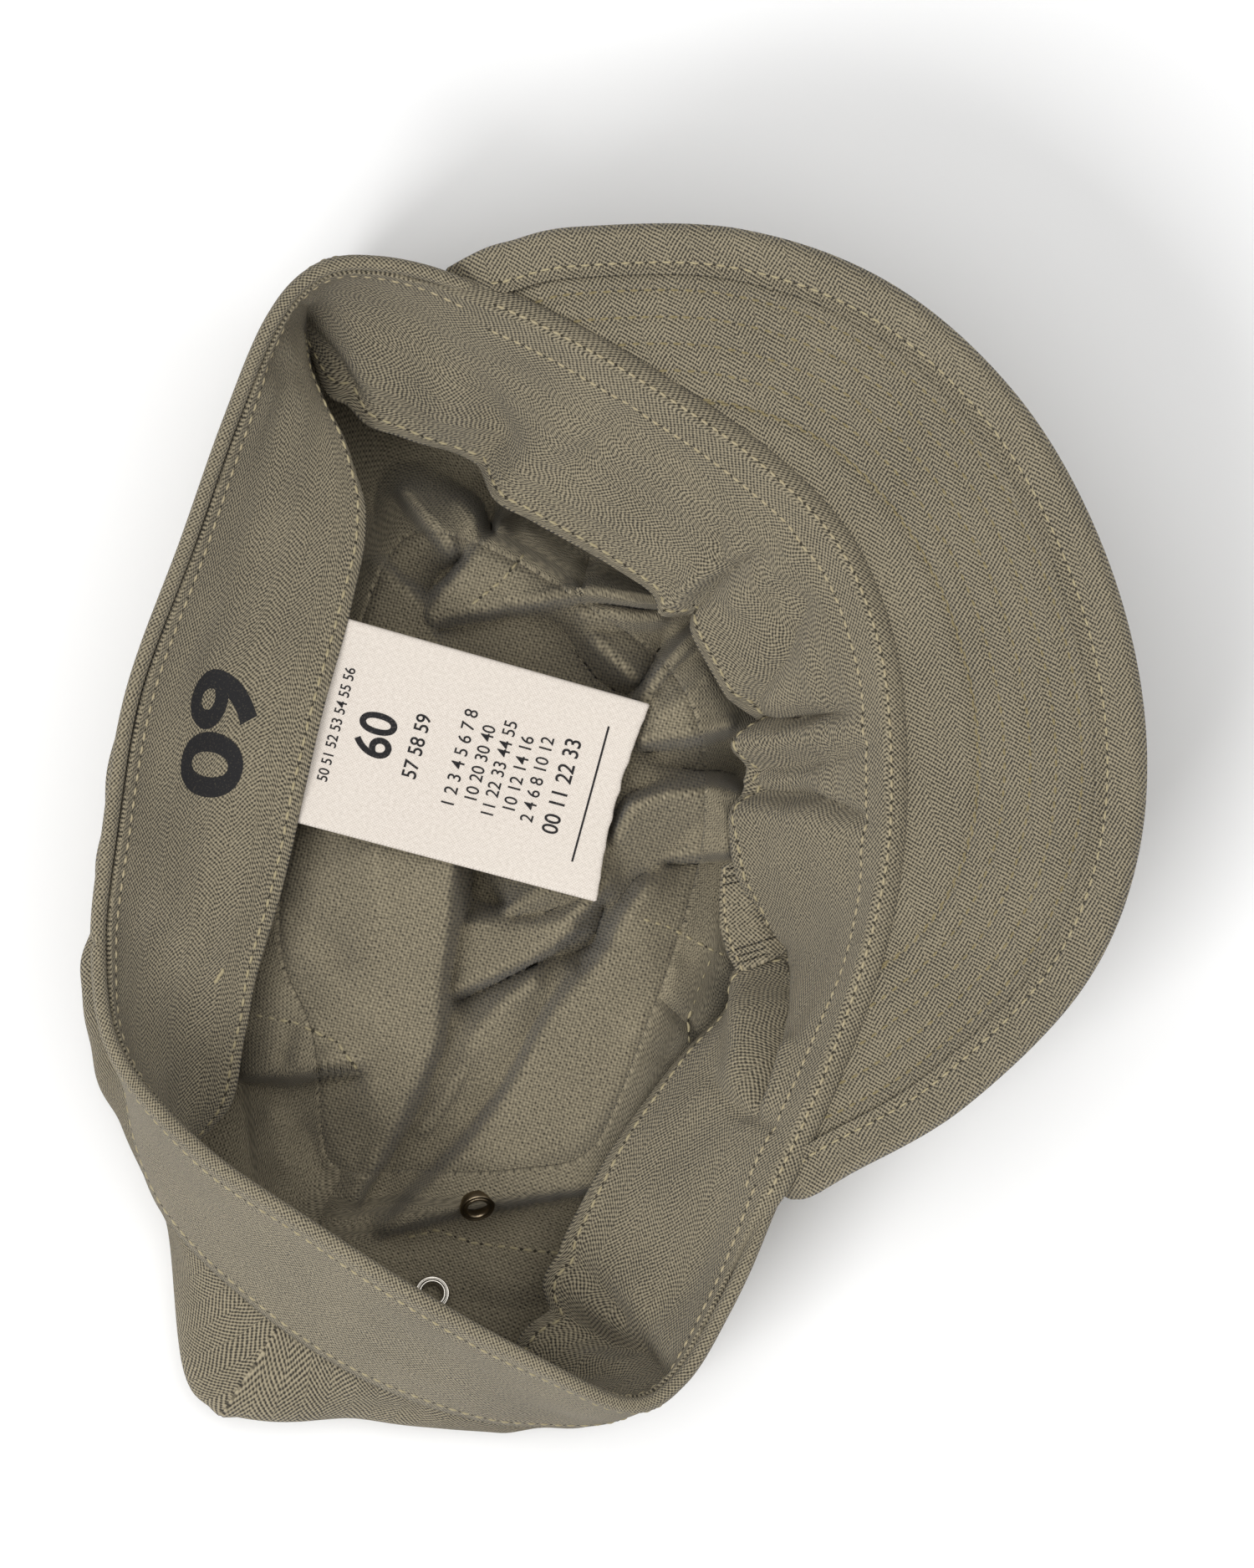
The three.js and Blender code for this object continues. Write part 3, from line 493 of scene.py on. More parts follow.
def crownEdges(at):
    # the crown's widest line, and the line where it meets the ground
    wide = push(rimPoint(at), rimFrame(at)[0], around(rimRows, rimColumns, "out", at))
    seam = bandPoint(at, cap["bandHeight"] + 2 * cap["seamGap"], 0)
    wide[..., 2] = np.clip(seam[..., 2] * 0.5, *crown["widestHigh"])
    inward = np.array(crown["centre"]) - wide[..., :2]
    ground = push(wide, unit(stack(inward[..., 0], inward[..., 1], 0)), crown["floorInset"])
    ground[..., 2] = cap["crownWall"] / 2
    return wide, ground


def alongLine(points, pitch):
    # points at an even pitch along straight stretches
    points = np.array(points, float)
    run = np.concatenate([[0], np.cumsum(np.linalg.norm(np.diff(points[:, :2], axis=0), axis=1))])
    spots = np.linspace(0, run[-1], int(run[-1] / pitch) + 2)
    return np.stack([np.interp(spots, run, points[:, k]) for k in range(3)], axis=1)


def drawFolds():
    # a sheet stretched between the creases, on a fine grid: the heights of the folded cloth
    low, pitch = np.array(foldMap["low"]), foldMap["pitch"]
    size = ((np.array(foldMap["high"]) - low) / pitch).astype(int)
    height = np.full(size, 10.0)
    held = np.zeros(size, bool)

    def hold(line):
        i, j = np.clip(np.round((line[:, :2] - low) / pitch).astype(int), 0, size - 1).T
        height[i, j] = line[:, 2]
        held[i, j] = True

    ring = crownEdges(np.arange(0, stations + 0.05, 0.1))[1]
    hold(alongLine(ring, pitch / 2))
    for points, drop, apart in creaseRows:
        line = alongLine(points, pitch / 2)
        if drop:
            ahead = unit(np.gradient(line[:, :2], axis=0))
            foot = line.copy()
            foot[:, 0] += ahead[:, 1] * apart
            foot[:, 1] -= ahead[:, 0] * apart
            foot[:, 2] = np.maximum(foot[:, 2] - drop, 1)
            hold(foot)
    for row in creaseRows:
        hold(alongLine(row[0], pitch / 2))
    odd = np.add.outer(np.arange(size[0]), np.arange(size[1])) % 2 == 1
    bulge = foldMap["puff"] * pitch**2 / 4
    for _ in range(foldMap["passes"]):
        for part in (odd & ~held, ~odd & ~held):
            mean = sum(np.roll(height, by, axis) for by in (-1, 1) for axis in (0, 1)) / 4
            height = np.where(part, height + foldMap["overStep"] * (mean + bulge - height), height)
    for _ in range(foldMap["soften"]):
        for axis in (0, 1):
            height = (np.roll(height, 1, axis) + 2 * height + np.roll(height, -1, axis)) / 4
    return height


foldHeights = drawFolds()


def foldedHeight(x, y):
    # height of the crown's cloth over the ground at a place in plan
    warpX = x + foldMap["stray"] * ripple(x, y, 30, 3)
    warpY = y + foldMap["stray"] * ripple(x, y, 30, 4)
    (lowX, lowY), pitch = foldMap["low"], foldMap["pitch"]
    height = onGrid(foldHeights[..., None], (warpX - lowX) / pitch, (warpY - lowY) / pitch)[..., 0]
    height = height * foldMap["steeper"] - foldMap["sink"]
    height = height * (1 + foldMap["frontLift"] * smooth(-30, 8, x))
    for points, wide in dentRows:
        gap, _, deep = nearLine(points, warpX, warpY)
        height = height - deep * np.exp(-((gap / wide) ** 2))
    height = height + foldMap["rumple"] * ripple(warpX, warpY, 9, 6)
    return np.maximum(height, foldMap["least"])


def onGrid(grid, i, j):
    # a grid's value between its points
    i = np.clip(i, 0, len(grid) - 1.001)
    j = np.clip(j, 0, grid.shape[1] - 1.001)
    a, b = np.floor(i).astype(int), np.floor(j).astype(int)
    s, t = (i - a)[..., None], (j - b)[..., None]
    low = grid[a, b] * (1 - t) + grid[a, b + 1] * t
    high = grid[a + 1, b] * (1 - t) + grid[a + 1, b + 1] * t
    return low * (1 - s) + high * s


def crownPoint(at, share):
    # the crown from the band's lower edge out to its widest line, down and in to its centre
    out, down = rimFrame(at)[:2]
    middle = cap["crownWall"] / 2
    wide, ground = crownEdges(at)
    # its edge is sewn in between the band's layers; out from there to the widest line
    seam = bandPoint(at, cap["bandHeight"] - cap["crownSewn"], -0.2)
    s = np.clip(share / crown["widest"], 0, 1)[..., None]
    leave = push(seam, down, crown["tuck"])
    arrive = wide + np.array([0, 0, crown["tuck"] / 2])
    swell = (
        seam * (1 - s) ** 3
        + leave * 3 * s * (1 - s) ** 2
        + arrive * 3 * s**2 * (1 - s)
        + wide * s**3
    )
    # round to the ground
    turn = np.clip((share - crown["widest"]) / (crown["ground"] - crown["widest"]), 0, 1)
    turn = turn * math.pi / 2
    level = mix(wide, ground, 1 - np.cos(turn))
    level[..., 2] = middle + (wide[..., 2] - middle) * (1 - np.sin(turn))
    # and in to the centre
    inside = np.clip((share - crown["ground"]) / (1 - crown["ground"]), 0, 1)
    centre = np.array([*crown["centre"], middle])
    floor = mix(ground, centre, inside)
    floor[..., 2] += foldedHeight(floor[..., 0], floor[..., 1]) * smooth(0, 0.08, inside)
    share = np.broadcast_to(share, floor.shape[:-1])
    low = np.where(share[..., None] <= crown["ground"], level, floor)
    point = np.where(share[..., None] <= crown["widest"], swell, low)
    # soft gathers down the outside, which run out at the seam and on the ground
    loose = smooth(0.01, 0.12, share) * (1 - smooth(0.24, 0.36, share))
    long, short = crown["gathers"]
    run = at * stationWide
    gather = long * ripple(run, 60 * share, 34, 7) + short * ripple(run, 90 * share, 13, 8)
    underBand = crown["underBand"] * smooth(0.005, 0.025, share) * np.exp(-((share / 0.05) ** 2))
    return push(point, out, loose * gather - underBand)


def squareToRound(u, v):
    # a point of a square as the rim station that it points at, and how far out it lies
    out = np.maximum(np.abs(u), np.abs(v))
    sideways = np.abs(u) >= np.abs(v)
    past = np.where(sideways, v / np.where(u == 0, 1, u), -u / np.where(v == 0, 1, v))
    quarter = np.where(sideways, np.where(u > 0, 0, 0.5), np.where(v > 0, 0.25, 0.75))
    return (quarter + past / 8) * stations, out


# How the peak lies; its two tips go further in under the rim
peak = dict(
    rootDown=3.6,  # how far below the rim the root is, and how much further at the tips
    rootDownTip=4.0,
    rootOut=0.9,
    riseFrom=2.2,  # the edge's rise is counted from here, below the rim
    tipDrop=4.5,
    tipIn=2.2,
    sag=1.5,
    turns=300,  # rings of points along it
)


def peakPoint(share, inward):
    # the peak's middle, from its outer edge (inward 0) to its root (inward 1)
    station = along(peakRows, peakColumns, "root", share)
    tip = 1 - peakEnds(share)
    root = bandPoint(station, peak["rootDown"] + peak["rootDownTip"] * tip, peak["rootOut"])
    level = bandPoint(station, peak["riseFrom"], peak["rootOut"])[..., 2]
    edge = stack(
        along(peakRows, peakColumns, "x", share),
        along(peakRows, peakColumns, "y", share),
        level + along(peakRows, peakColumns, "rise", share) - peak["tipDrop"] * tip,
    )
    edge = push(edge, rimFrame(station)[0], -peak["tipIn"] * tip)
    point = mix(edge, root, inward)
    point[..., 2] -= peak["sag"] * np.sin(math.pi * inward)
    return point


def peakEnds(share):
    # 0 at the peak's two ends, where it goes under the rim, 1 along it
    return smooth(-0.01, 0.07, share) * smooth(-0.01, 0.05, 1 - share)


def peakDepth(share):
    return np.linalg.norm(peakPoint(share, 0 * share) - peakPoint(share, 0 * share + 1), axis=-1)


def peakOffset(share, inBy, upBy):
    # a point of the peak so far in from its outer edge and so far above its middle
    edge, root = peakPoint(share, 0 * share), peakPoint(share, 0 * share + 1)
    ahead = peakPoint(np.minimum(share + 0.01, 1), 0 * share)
    behind = peakPoint(np.maximum(share - 0.01, 0), 0 * share)
    normal = unit(np.cross(ahead - behind, root - edge))
    normal = normal * np.where(normal[..., 2:] < 0, -1, 1)
    thin = 0.35 + 0.65 * peakEnds(share)
    return push(peakPoint(share, inBy / peakDepth(share)), normal, upBy * thin)


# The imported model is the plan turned, and moved so that the band lies in its own box

def turnCap(points):
    c, s = math.cos(capTurn), math.sin(capTurn)
    x, y, z = points[..., 0], points[..., 1], points[..., 2]
    return stack(x * c - y * s, x * s + y * c, z)


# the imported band's outline: how far each point lies below the rim and outside the middle
bandOutline = [(44, 1), (3, 1.1), (1, 0.6), (0, -0.9), (1, -2.5), (3, -2.9), (5.5, -2.9), (6, -1), (44, -1)]
cadTurns = 3 * stations
cadStations = np.arange(cadTurns) * stations / cadTurns
cadBand = turnCap(np.stack([bandPoint(cadStations, down, out) for down, out in bandOutline]))
bandLow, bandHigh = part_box("band")
shift = (np.array(bandLow) + np.array(bandHigh)) / 2
shift = shift - (cadBand.reshape(-1, 3).min(0) + cadBand.reshape(-1, 3).max(0)) / 2 / 1000
shift[2] = 0


def toFrame(points):
    return turnCap(np.asarray(points, float)) / 1000 + shift


# Meshes

edgeThin = 0.3  # of a wall's thickness is left at its rounded edge


def makeMesh(name, points, quads, uvs, material, reverse=None, turnedOver=None):
    # points in plan millimetres; uvs in millimetres of cloth, one for each quad's corner;
    # turnedOver marks the quads that show the cloth's reverse
    a, b, c, d = (points[quads[:, k]] for k in range(4))
    volume = (a * np.cross(b, c)).sum() + (a * np.cross(c, d)).sum()
    if volume < 0:
        quads = quads[:, ::-1]
        uvs = None if uvs is None else uvs[:, ::-1]
    mesh = bpy.data.meshes.new(name)
    mesh.vertices.add(len(points))
    mesh.vertices.foreach_set("co", toFrame(points).ravel())
    mesh.loops.add(quads.size)
    mesh.loops.foreach_set("vertex_index", np.ascontiguousarray(quads).ravel())
    mesh.polygons.add(len(quads))
    mesh.polygons.foreach_set("loop_start", np.arange(0, quads.size, 4))
    mesh.update(calc_edges=True)
    mesh.polygons.foreach_set("use_smooth", np.ones(len(quads), bool))
    if uvs is not None:
        layer = mesh.uv_layers.new(name="cloth")
        layer.uv.foreach_set("vector", np.ascontiguousarray(uvs).ravel())
    mesh.validate()
    piece = bpy.data.objects.new(name, mesh)
    bpy.context.collection.objects.link(piece)
    mesh.materials.append(material)
    if reverse:
        mesh.materials.append(reverse)
        mesh.polygons.foreach_set("material_index", turnedOver.astype(np.int32))
    return piece


def gridNormals(grid, closed):
    ahead = np.roll(grid, -1, 0) - np.roll(grid, 1, 0) if closed else np.gradient(grid, axis=0)
    return unit(np.cross(ahead, np.gradient(grid, axis=1)))


def lengths(grid, axis):
    # how far each point lies along the grid's lines, in millimetres
    step = np.linalg.norm(np.diff(grid, axis=axis), axis=-1)
    start = np.zeros_like(np.take(step, [0], axis=axis))
    return np.cumsum(np.concatenate([start, step], axis=axis), axis=axis)


def clothWall(name, grid, uv, thick, material, closed=False, reverse=None):
    # a wall of cloth about a grid of middle points, with its edges rounded off; reverse goes
    # on the side that the grid's normals point to
    thickness = np.broadcast_to(np.asarray(thick, float), grid.shape[:2]).copy()
    for axis in (1,) if closed else (0, 1):
        lines = [np.take(grid, k, axis=axis) for k in (0, 1, -2, -1)]
        reach = np.take(thickness, 0, axis=axis)[..., None] / 2
        before = lines[0] + unit(lines[0] - lines[1]) * reach
        after = lines[3] + unit(lines[3] - lines[2]) * reach
        grid = np.concatenate([np.expand_dims(before, axis), grid, np.expand_dims(after, axis)], axis)
        first, last = np.take(thickness, [0], axis=axis), np.take(thickness, [-1], axis=axis)
        thickness = np.concatenate([first * edgeThin, thickness, last * edgeThin], axis)
        uv = np.concatenate([np.take(uv, [0], axis=axis), uv, np.take(uv, [-1], axis=axis)], axis)
    normal = gridNormals(grid, closed)
    rows, columns = grid.shape[:2]
    half = thickness[..., None] / 2
    points = np.stack([grid + normal * half, grid - normal * half], axis=2).reshape(-1, 3)
    i, j = np.meshgrid(np.arange(rows if closed else rows - 1), np.arange(columns - 1), indexing="ij")
    i, j = i.ravel(), j.ravel()

    def corner(i, j, side):
        return ((i % rows) * columns + j) * 2 + side

    quads, uvs = [], []

    def add(corners):
        quads.append(np.stack([corner(*c) for c in corners], axis=1))
        uvs.append(np.stack([uv[a, b] for a, b, side in corners], axis=1))

    add([(i, j, 0), (i + 1, j, 0), (i + 1, j + 1, 0), (i, j + 1, 0)])
    add([(i, j, 1), (i, j + 1, 1), (i + 1, j + 1, 1), (i + 1, j, 1)])
    i = np.arange(rows if closed else rows - 1)
    first, last = 0 * i, 0 * i + columns - 1
    add([(i, first, 0), (i, first, 1), (i + 1, first, 1), (i + 1, first, 0)])
    add([(i, last, 0), (i + 1, last, 0), (i + 1, last, 1), (i, last, 1)])
    if not closed:
        j = np.arange(columns - 1)
        first, last = 0 * j, 0 * j + rows - 1
        add([(first, j, 0), (first, j + 1, 0), (first, j + 1, 1), (first, j, 1)])
        add([(last, j, 0), (last, j, 1), (last, j + 1, 1), (last, j + 1, 0)])
    faces = (rows if closed else rows - 1) * (columns - 1)
    quads = np.concatenate(quads)
    turnedOver = np.arange(len(quads)) < faces
    return makeMesh(name, points, quads, np.concatenate(uvs), material, reverse, turnedOver)


def sweep(name, rings, uv, material, closed):
    # a solid through rings of points; uv has one more ring, and one more point, than rings
    rows, columns = rings.shape[:2]
    i, j = np.meshgrid(np.arange(rows if closed else rows - 1), np.arange(columns), indexing="ij")
    i, j = i.ravel(), j.ravel()
    corners = [(i, j), (i + 1, j), (i + 1, j + 1), (i, j + 1)]
    quads = [np.stack([(a % rows) * columns + b % columns for a, b in corners], axis=1)]
    uvs = [np.stack([uv[a, b] for a, b in corners], axis=1)]
    if not closed:
        k = np.arange(columns // 2 - 1)
        across = np.stack([k, k + 1, columns - 2 - k, columns - 1 - k], axis=1)
        end = (rows - 1) * columns + across[:, ::-1]
        quads += [across, end]
        uvs += [uv[0, across], uv[rows - 1, across[:, ::-1]]]
    return makeMesh(name, rings.reshape(-1, 3), np.concatenate(quads), np.concatenate(uvs), material)


# Materials

def fromHex(text):
    # an sRGB hex colour as linear red, green, blue and alpha
    channels = [int(text[k : k + 2], 16) / 255 for k in (1, 3, 5)]
    return (*[c / 12.92 if c <= 0.04045 else ((c + 0.055) / 1.055) ** 2.4 for c in channels], 1.0)


def connect(tree, node, inputs):
    # an input is a value, a socket, or a node, whose first output is then meant
    pairs = inputs.items() if isinstance(inputs, dict) else enumerate(inputs)
    for name, value in pairs:
        value = value.outputs[0] if isinstance(value, bpy.types.Node) else value
        if isinstance(value, bpy.types.NodeSocket):
            tree.links.new(value, node.inputs[name])
        else:
            node.inputs[name].default_value = value


def addNode(tree, kind, inputs=(), **settings):
    # adds a shader node with its settings and its links
    node = tree.nodes.new("ShaderNode" + kind)
    for name, value in settings.items():
        setattr(node, name, value)
    connect(tree, node, inputs)
    return node


def newMaterial(name):
    material = bpy.data.materials.new(name)
    material.use_nodes = True
    tree = material.node_tree
    return material, tree, tree.nodes["Principled BSDF"]


def weaveWaves(tree, place, waves):
    # the sum of sine waves over a place: each has its rate along x, y and z, and its height
    total = 0.0
    for *rates, high in waves:
        phase = addNode(tree, "VectorMath", (place, rates), operation="DOT_PRODUCT")
        wave = addNode(tree, "Math", (phase.outputs["Value"],), operation="SINE")
        total = addNode(tree, "Math", (wave, high, total), operation="MULTIPLY_ADD")
    return total


# Herringbone twill: its diagonal ridges turn back at every stripe. They are drawn a little
# coarser than the real 0.6 mm, which would be lost in the image. Sizes are millimetres.
twill = dict(
    light="#A59A81",
    dark="#36322A",
    stripe=4.8,
    ridge=0.72,
    steep=48.0,  # degrees between a ridge and its stripe
    yarn=0.62,
    knot=0.86,  # of the reverse
    slant=32.0,  # degrees that its knots lie round from the cloth's own way
    bump=0.0003,  # metres
)
# The two sides' noise, each with its waves to a millimetre and how strong it is. stray: how
# the weave wanders from its straight lines. speck: single paler yarns. wear: large patches.
faceLook = dict(
    stray=0.12, strayBy=0.9, speck=1.9, speckDetail=2.0, speckBy=1.7, wear=0.045, wearBy=0.35, pale=0.55
)
reverseLook = dict(
    stray=0.1, strayBy=1.2, speck=1.5, speckDetail=3.0, speckBy=1.1, wear=0.05, wearBy=0.3, pale=0.52
)


def clothPlace(tree, look):
    # the place on the cloth in millimetres, and the same strayed a little
    uv = addNode(tree, "UVMap", uv_map="cloth")
    wander = addNode(tree, "TexNoise", {"Vector": uv, "Scale": look["stray"], "Detail": 2.0})
    by = {0: wander.outputs["Color"], "Scale": look["strayBy"]}
    shifted = addNode(tree, "VectorMath", by, operation="SCALE")
    return uv, addNode(tree, "VectorMath", (uv, shifted), operation="ADD")


def washedTwill(tree, shader, uv, weave, look):
    # what washing and wear do over the weave: mixed pale and dark yarns on a matt surface
    specks = {"Vector": uv, "Scale": look["speck"], "Detail": look["speckDetail"]}
    speck = addNode(tree, "TexNoise", specks)
    height = addNode(tree, "Math", (speck, look["speckBy"], weave), operation="MULTIPLY_ADD")
    wear = addNode(tree, "TexNoise", {"Vector": uv, "Scale": look["wear"], "Detail": 3.0})
    worn = addNode(tree, "Math", (wear, look["wearBy"], height), operation="MULTIPLY_ADD")
    pale = look["pale"] - (look["speckBy"] + look["wearBy"]) / 2  # both noises have a mean of a half
    share = addNode(tree, "Math", (worn, pale), operation="ADD")
    ends = {0: share, "A": fromHex(twill["dark"]), "B": fromHex(twill["light"])}
    colour = addNode(tree, "Mix", ends, data_type="RGBA")
    relief = {"Strength": 0.7, "Distance": twill["bump"], "Height": height}
    connect(tree, shader, {
        "Base Color": colour.outputs["Result"],
        "Normal": addNode(tree, "Bump", relief),
        "Roughness": 0.95,
        "Specular IOR Level": 0.2,
        "Sheen Weight": 0.12,
        "Sheen Roughness": 0.6,
    })


def twillMaterial(name, bold=1.0):
    # woven cotton twill: matt, a soft salt-and-pepper of light and dark in chevrons, which
    # bold makes stronger or weaker
    material, tree, shader = newMaterial(name)
    uv, placed = clothPlace(tree, faceLook)
    axes = addNode(tree, "SeparateXYZ", (placed,))
    run, across = axes.outputs[0], axes.outputs[1]
    back = addNode(tree, "Math", (across, twill["stripe"]), operation="PINGPONG")
    counted = addNode(tree, "Math", (across, twill["stripe"]), operation="DIVIDE")
    stripe = addNode(tree, "Math", (counted,), operation="FLOOR")
    woven = addNode(tree, "CombineXYZ", (run, back, stripe))
    steep = math.radians(twill["steep"])
    c, s = math.cos(steep), math.sin(steep)
    rate, yarnRate = 2 * math.pi / twill["ridge"], 2 * math.pi / twill["yarn"]
    # the ridges, and the yarns across them; each stripe starts out of step with the last
    weave = weaveWaves(tree, woven, [
        (rate * s, rate * c, 2.1, 0.5 * bold),
        (yarnRate * c, -yarnRate * s, 1.3, 0.5 - 0.22 * bold),
    ])
    washedTwill(tree, shader, uv, weave, faceLook)
    return material


def twillReverse(name):
    # the back of the same cloth: no chevrons, only small even knots where the yarns cross
    material, tree, shader = newMaterial(name)
    uv, placed = clothPlace(tree, reverseLook)
    slant = math.radians(twill["slant"])
    rate = 2 * math.pi / twill["knot"]
    c, s = rate * math.cos(slant), rate * math.sin(slant)
    rows = weaveWaves(tree, placed, [(c, s, 0.0, 1.0)])
    crossing = weaveWaves(tree, placed, [(-s, c, 0.0, 1.0)])
    knots = addNode(tree, "Math", (crossing, 0.28, 0.12), operation="MULTIPLY_ADD")
    weave = addNode(tree, "Math", (knots, rows), operation="MULTIPLY")
    washedTwill(tree, shader, uv, weave, reverseLook)
    return material


tape = dict(light="#F1E8DE", dark="#CFC5BA", yarn=0.55)  # its yarns lie so many millimetres apart


def cottonMaterial():
    # plain-woven label cotton, off-white, with slubs in its yarns
    material, tree, shader = newMaterial("cotton_tape")
    uv = addNode(tree, "UVMap", uv_map="cloth")
    rate = 2 * math.pi / tape["yarn"]
    warp = weaveWaves(tree, uv, [(rate, 0.0, 0.0, 1.0)])
    weft = weaveWaves(tree, uv, [(0.0, rate, 0.0, 1.0)])
    weave = addNode(tree, "Math", (warp, weft), operation="MULTIPLY")
    slubs = addNode(tree, "TexNoise", {"Vector": uv, "Scale": 1.6, "Detail": 2.0})
    height = addNode(tree, "Math", (weave, 0.35, slubs), operation="MULTIPLY_ADD")
    ends = {0: height, "A": fromHex(tape["dark"]), "B": fromHex(tape["light"])}
    colour = addNode(tree, "Mix", ends, data_type="RGBA")
    connect(tree, shader, {
        "Base Color": colour.outputs["Result"],
        "Normal": addNode(tree, "Bump", {"Strength": 0.5, "Distance": 0.0001, "Height": height}),
        "Roughness": 0.9,
        "Sheen Weight": 0.1,
    })
    return material


# From here on a noise's scale is its waves to a metre: a grain of 0.4 mm is 2600.

def inkMaterial(name, ground):
    # black stamping ink that has sunk between the yarns, so that the cloth shows in places
    material, tree, shader = newMaterial(name)
    place = addNode(tree, "TexCoord").outputs["Object"]
    grain = addNode(tree, "TexNoise", {"Vector": place, "Scale": 2600.0, "Detail": 2.0})
    thin = addNode(tree, "Math", (grain, 2.2, -0.56 * 2.2), operation="MULTIPLY_ADD")
    ends = {0: thin, "A": fromHex("#1C1B1D"), "B": fromHex(ground)}
    colour = addNode(tree, "Mix", ends, data_type="RGBA", clamp_factor=True)
    connect(tree, shader, {"Base Color": colour.outputs["Result"], "Roughness": 0.9})
    return material


def threadMaterial(name, dyed):
    # two-ply cotton thread; the noise is its fuzz and uneven dye
    material, tree, shader = newMaterial(name)
    place = addNode(tree, "TexCoord").outputs["Object"]
    fuzz = addNode(tree, "TexNoise", {"Vector": place, "Scale": 1500.0, "Detail": 2.0})
    ends = {0: fuzz, "A": fromHex(dyed), "B": fromHex("#D8D0C0")}
    colour = addNode(tree, "Mix", ends, data_type="RGBA", blend_type="MULTIPLY")
    connect(tree, shader, {
        "Base Color": colour.outputs["Result"],
        "Normal": addNode(tree, "Bump", {"Strength": 0.6, "Distance": 0.0001, "Height": fuzz}),
        "Roughness": 0.85,
    })
    return material


def holeMaterial():
    # the shade in a needle's hole
    material, tree, shader = newMaterial("needle_hole_shade")
    place = addNode(tree, "TexCoord").outputs["Object"]
    uneven = addNode(tree, "TexNoise", {"Vector": place, "Scale": 900.0})
    ends = {0: uneven, "A": fromHex("#2B271E"), "B": fromHex("#453F32")}
    colour = addNode(tree, "Mix", ends, data_type="RGBA")
    connect(tree, shader, {"Base Color": colour.outputs["Result"], "Roughness": 1.0})
    return material


def metalMaterial(name, bright, dull, roughness):
    # plated brass eyelets: bright where rubbed, darker and rougher where they have tarnished
    material, tree, shader = newMaterial(name)
    place = addNode(tree, "TexCoord").outputs["Object"]
    tarnish = addNode(tree, "TexNoise", {"Vector": place, "Scale": 420.0, "Detail": 4.0})
    ends = {0: tarnish, "A": fromHex(bright), "B": fromHex(dull)}
    colour = addNode(tree, "Mix", ends, data_type="RGBA")
    span = {"Value": tarnish, "To Min": roughness * 0.7, "To Max": roughness * 1.5}
    connect(tree, shader, {
        "Base Color": colour.outputs["Result"],
        "Roughness": addNode(tree, "MapRange", span),
        "Metallic": 1.0,
    })
    return material


clothTwill = twillMaterial("olive_herringbone_twill")
rubbedTwill = twillMaterial("rubbed_olive_herringbone_twill", bold=0.55)
twillBack = twillReverse("olive_herringbone_twill_reverse")
cotton = cottonMaterial()
stampInk = inkMaterial("stamp_ink", "#5B5546")
labelInk = inkMaterial("label_ink", "#77706A")
oliveThread = threadMaterial("olive_cotton_thread", "#B3A98A")
darkThread = threadMaterial("dark_olive_cotton_thread", "#8F8462")
paleThread = threadMaterial("pale_cotton_thread", "#B8AD90")
holeShade = holeMaterial()
nickel = metalMaterial("bright_nickel_plate", "#D9D4CA", "#A8A196", 0.22)
# the near eyelet's darker metal: partly tarnish, partly painted shade for the shadow that it lies in
tarnishedShadedBrass = metalMaterial("brass_tarnish_and_painted_shade", "#A3937A", "#554B3D", 0.32)
print("materials made")


def ready(piece, slot, *nodes):
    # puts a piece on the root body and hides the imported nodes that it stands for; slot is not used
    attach(piece, "root")
    if nodes:
        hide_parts(*nodes)
    return piece


# Stitches

def evenly(points, ways, pitch):
    # points and their ways out at an even pitch along the line
    run = np.concatenate([[0], np.cumsum(np.linalg.norm(np.diff(points, axis=0), axis=1))])
    spots = np.arange(pitch / 2, run[-1], pitch)
    placed = np.stack([np.interp(spots, run, points[:, k]) for k in range(3)], axis=1)
    facing = unit(np.stack([np.interp(spots, run, ways[:, k]) for k in range(3)], axis=1))
    ahead = np.stack([np.interp(spots + 0.4, run, points[:, k]) for k in range(3)], axis=1)
    behind = np.stack([np.interp(spots - 0.4, run, points[:, k]) for k in range(3)], axis=1)
    return placed, facing, unit(ahead - behind)


def bead(length, width, high, dip, rings):
    # a long six-sided bead, its ends dipped into the cloth: its points and quads
    points, quads = [], []
    sides = 6
    for k in range(rings):
        s = -1 + 2 * k / (rings - 1)
        full = math.sqrt(max(1 - s * s * 0.9, 0.02))
        for m in range(sides):
            turn = 2 * math.pi * m / sides
            up = math.sin(turn) * high / 2 * full - dip * s * s
            points.append((s * length / 2, math.cos(turn) * width / 2 * full, up))
    for k in range(rings - 1):
        for m in range(sides):
            a, b = k * sides + m, k * sides + (m + 1) % sides
            quads.append((a, b, b + sides, a + sides))
    end = (rings - 1) * sides
    quads += [(0, 1, 2, 3), (0, 3, 4, 5)]
    quads += [(end + 3, end + 2, end + 1, end), (end + 5, end + 4, end + 3, end)]
    return np.array(points), np.array(quads)


stitchStray = 0.06  # how far the stitches point off their line


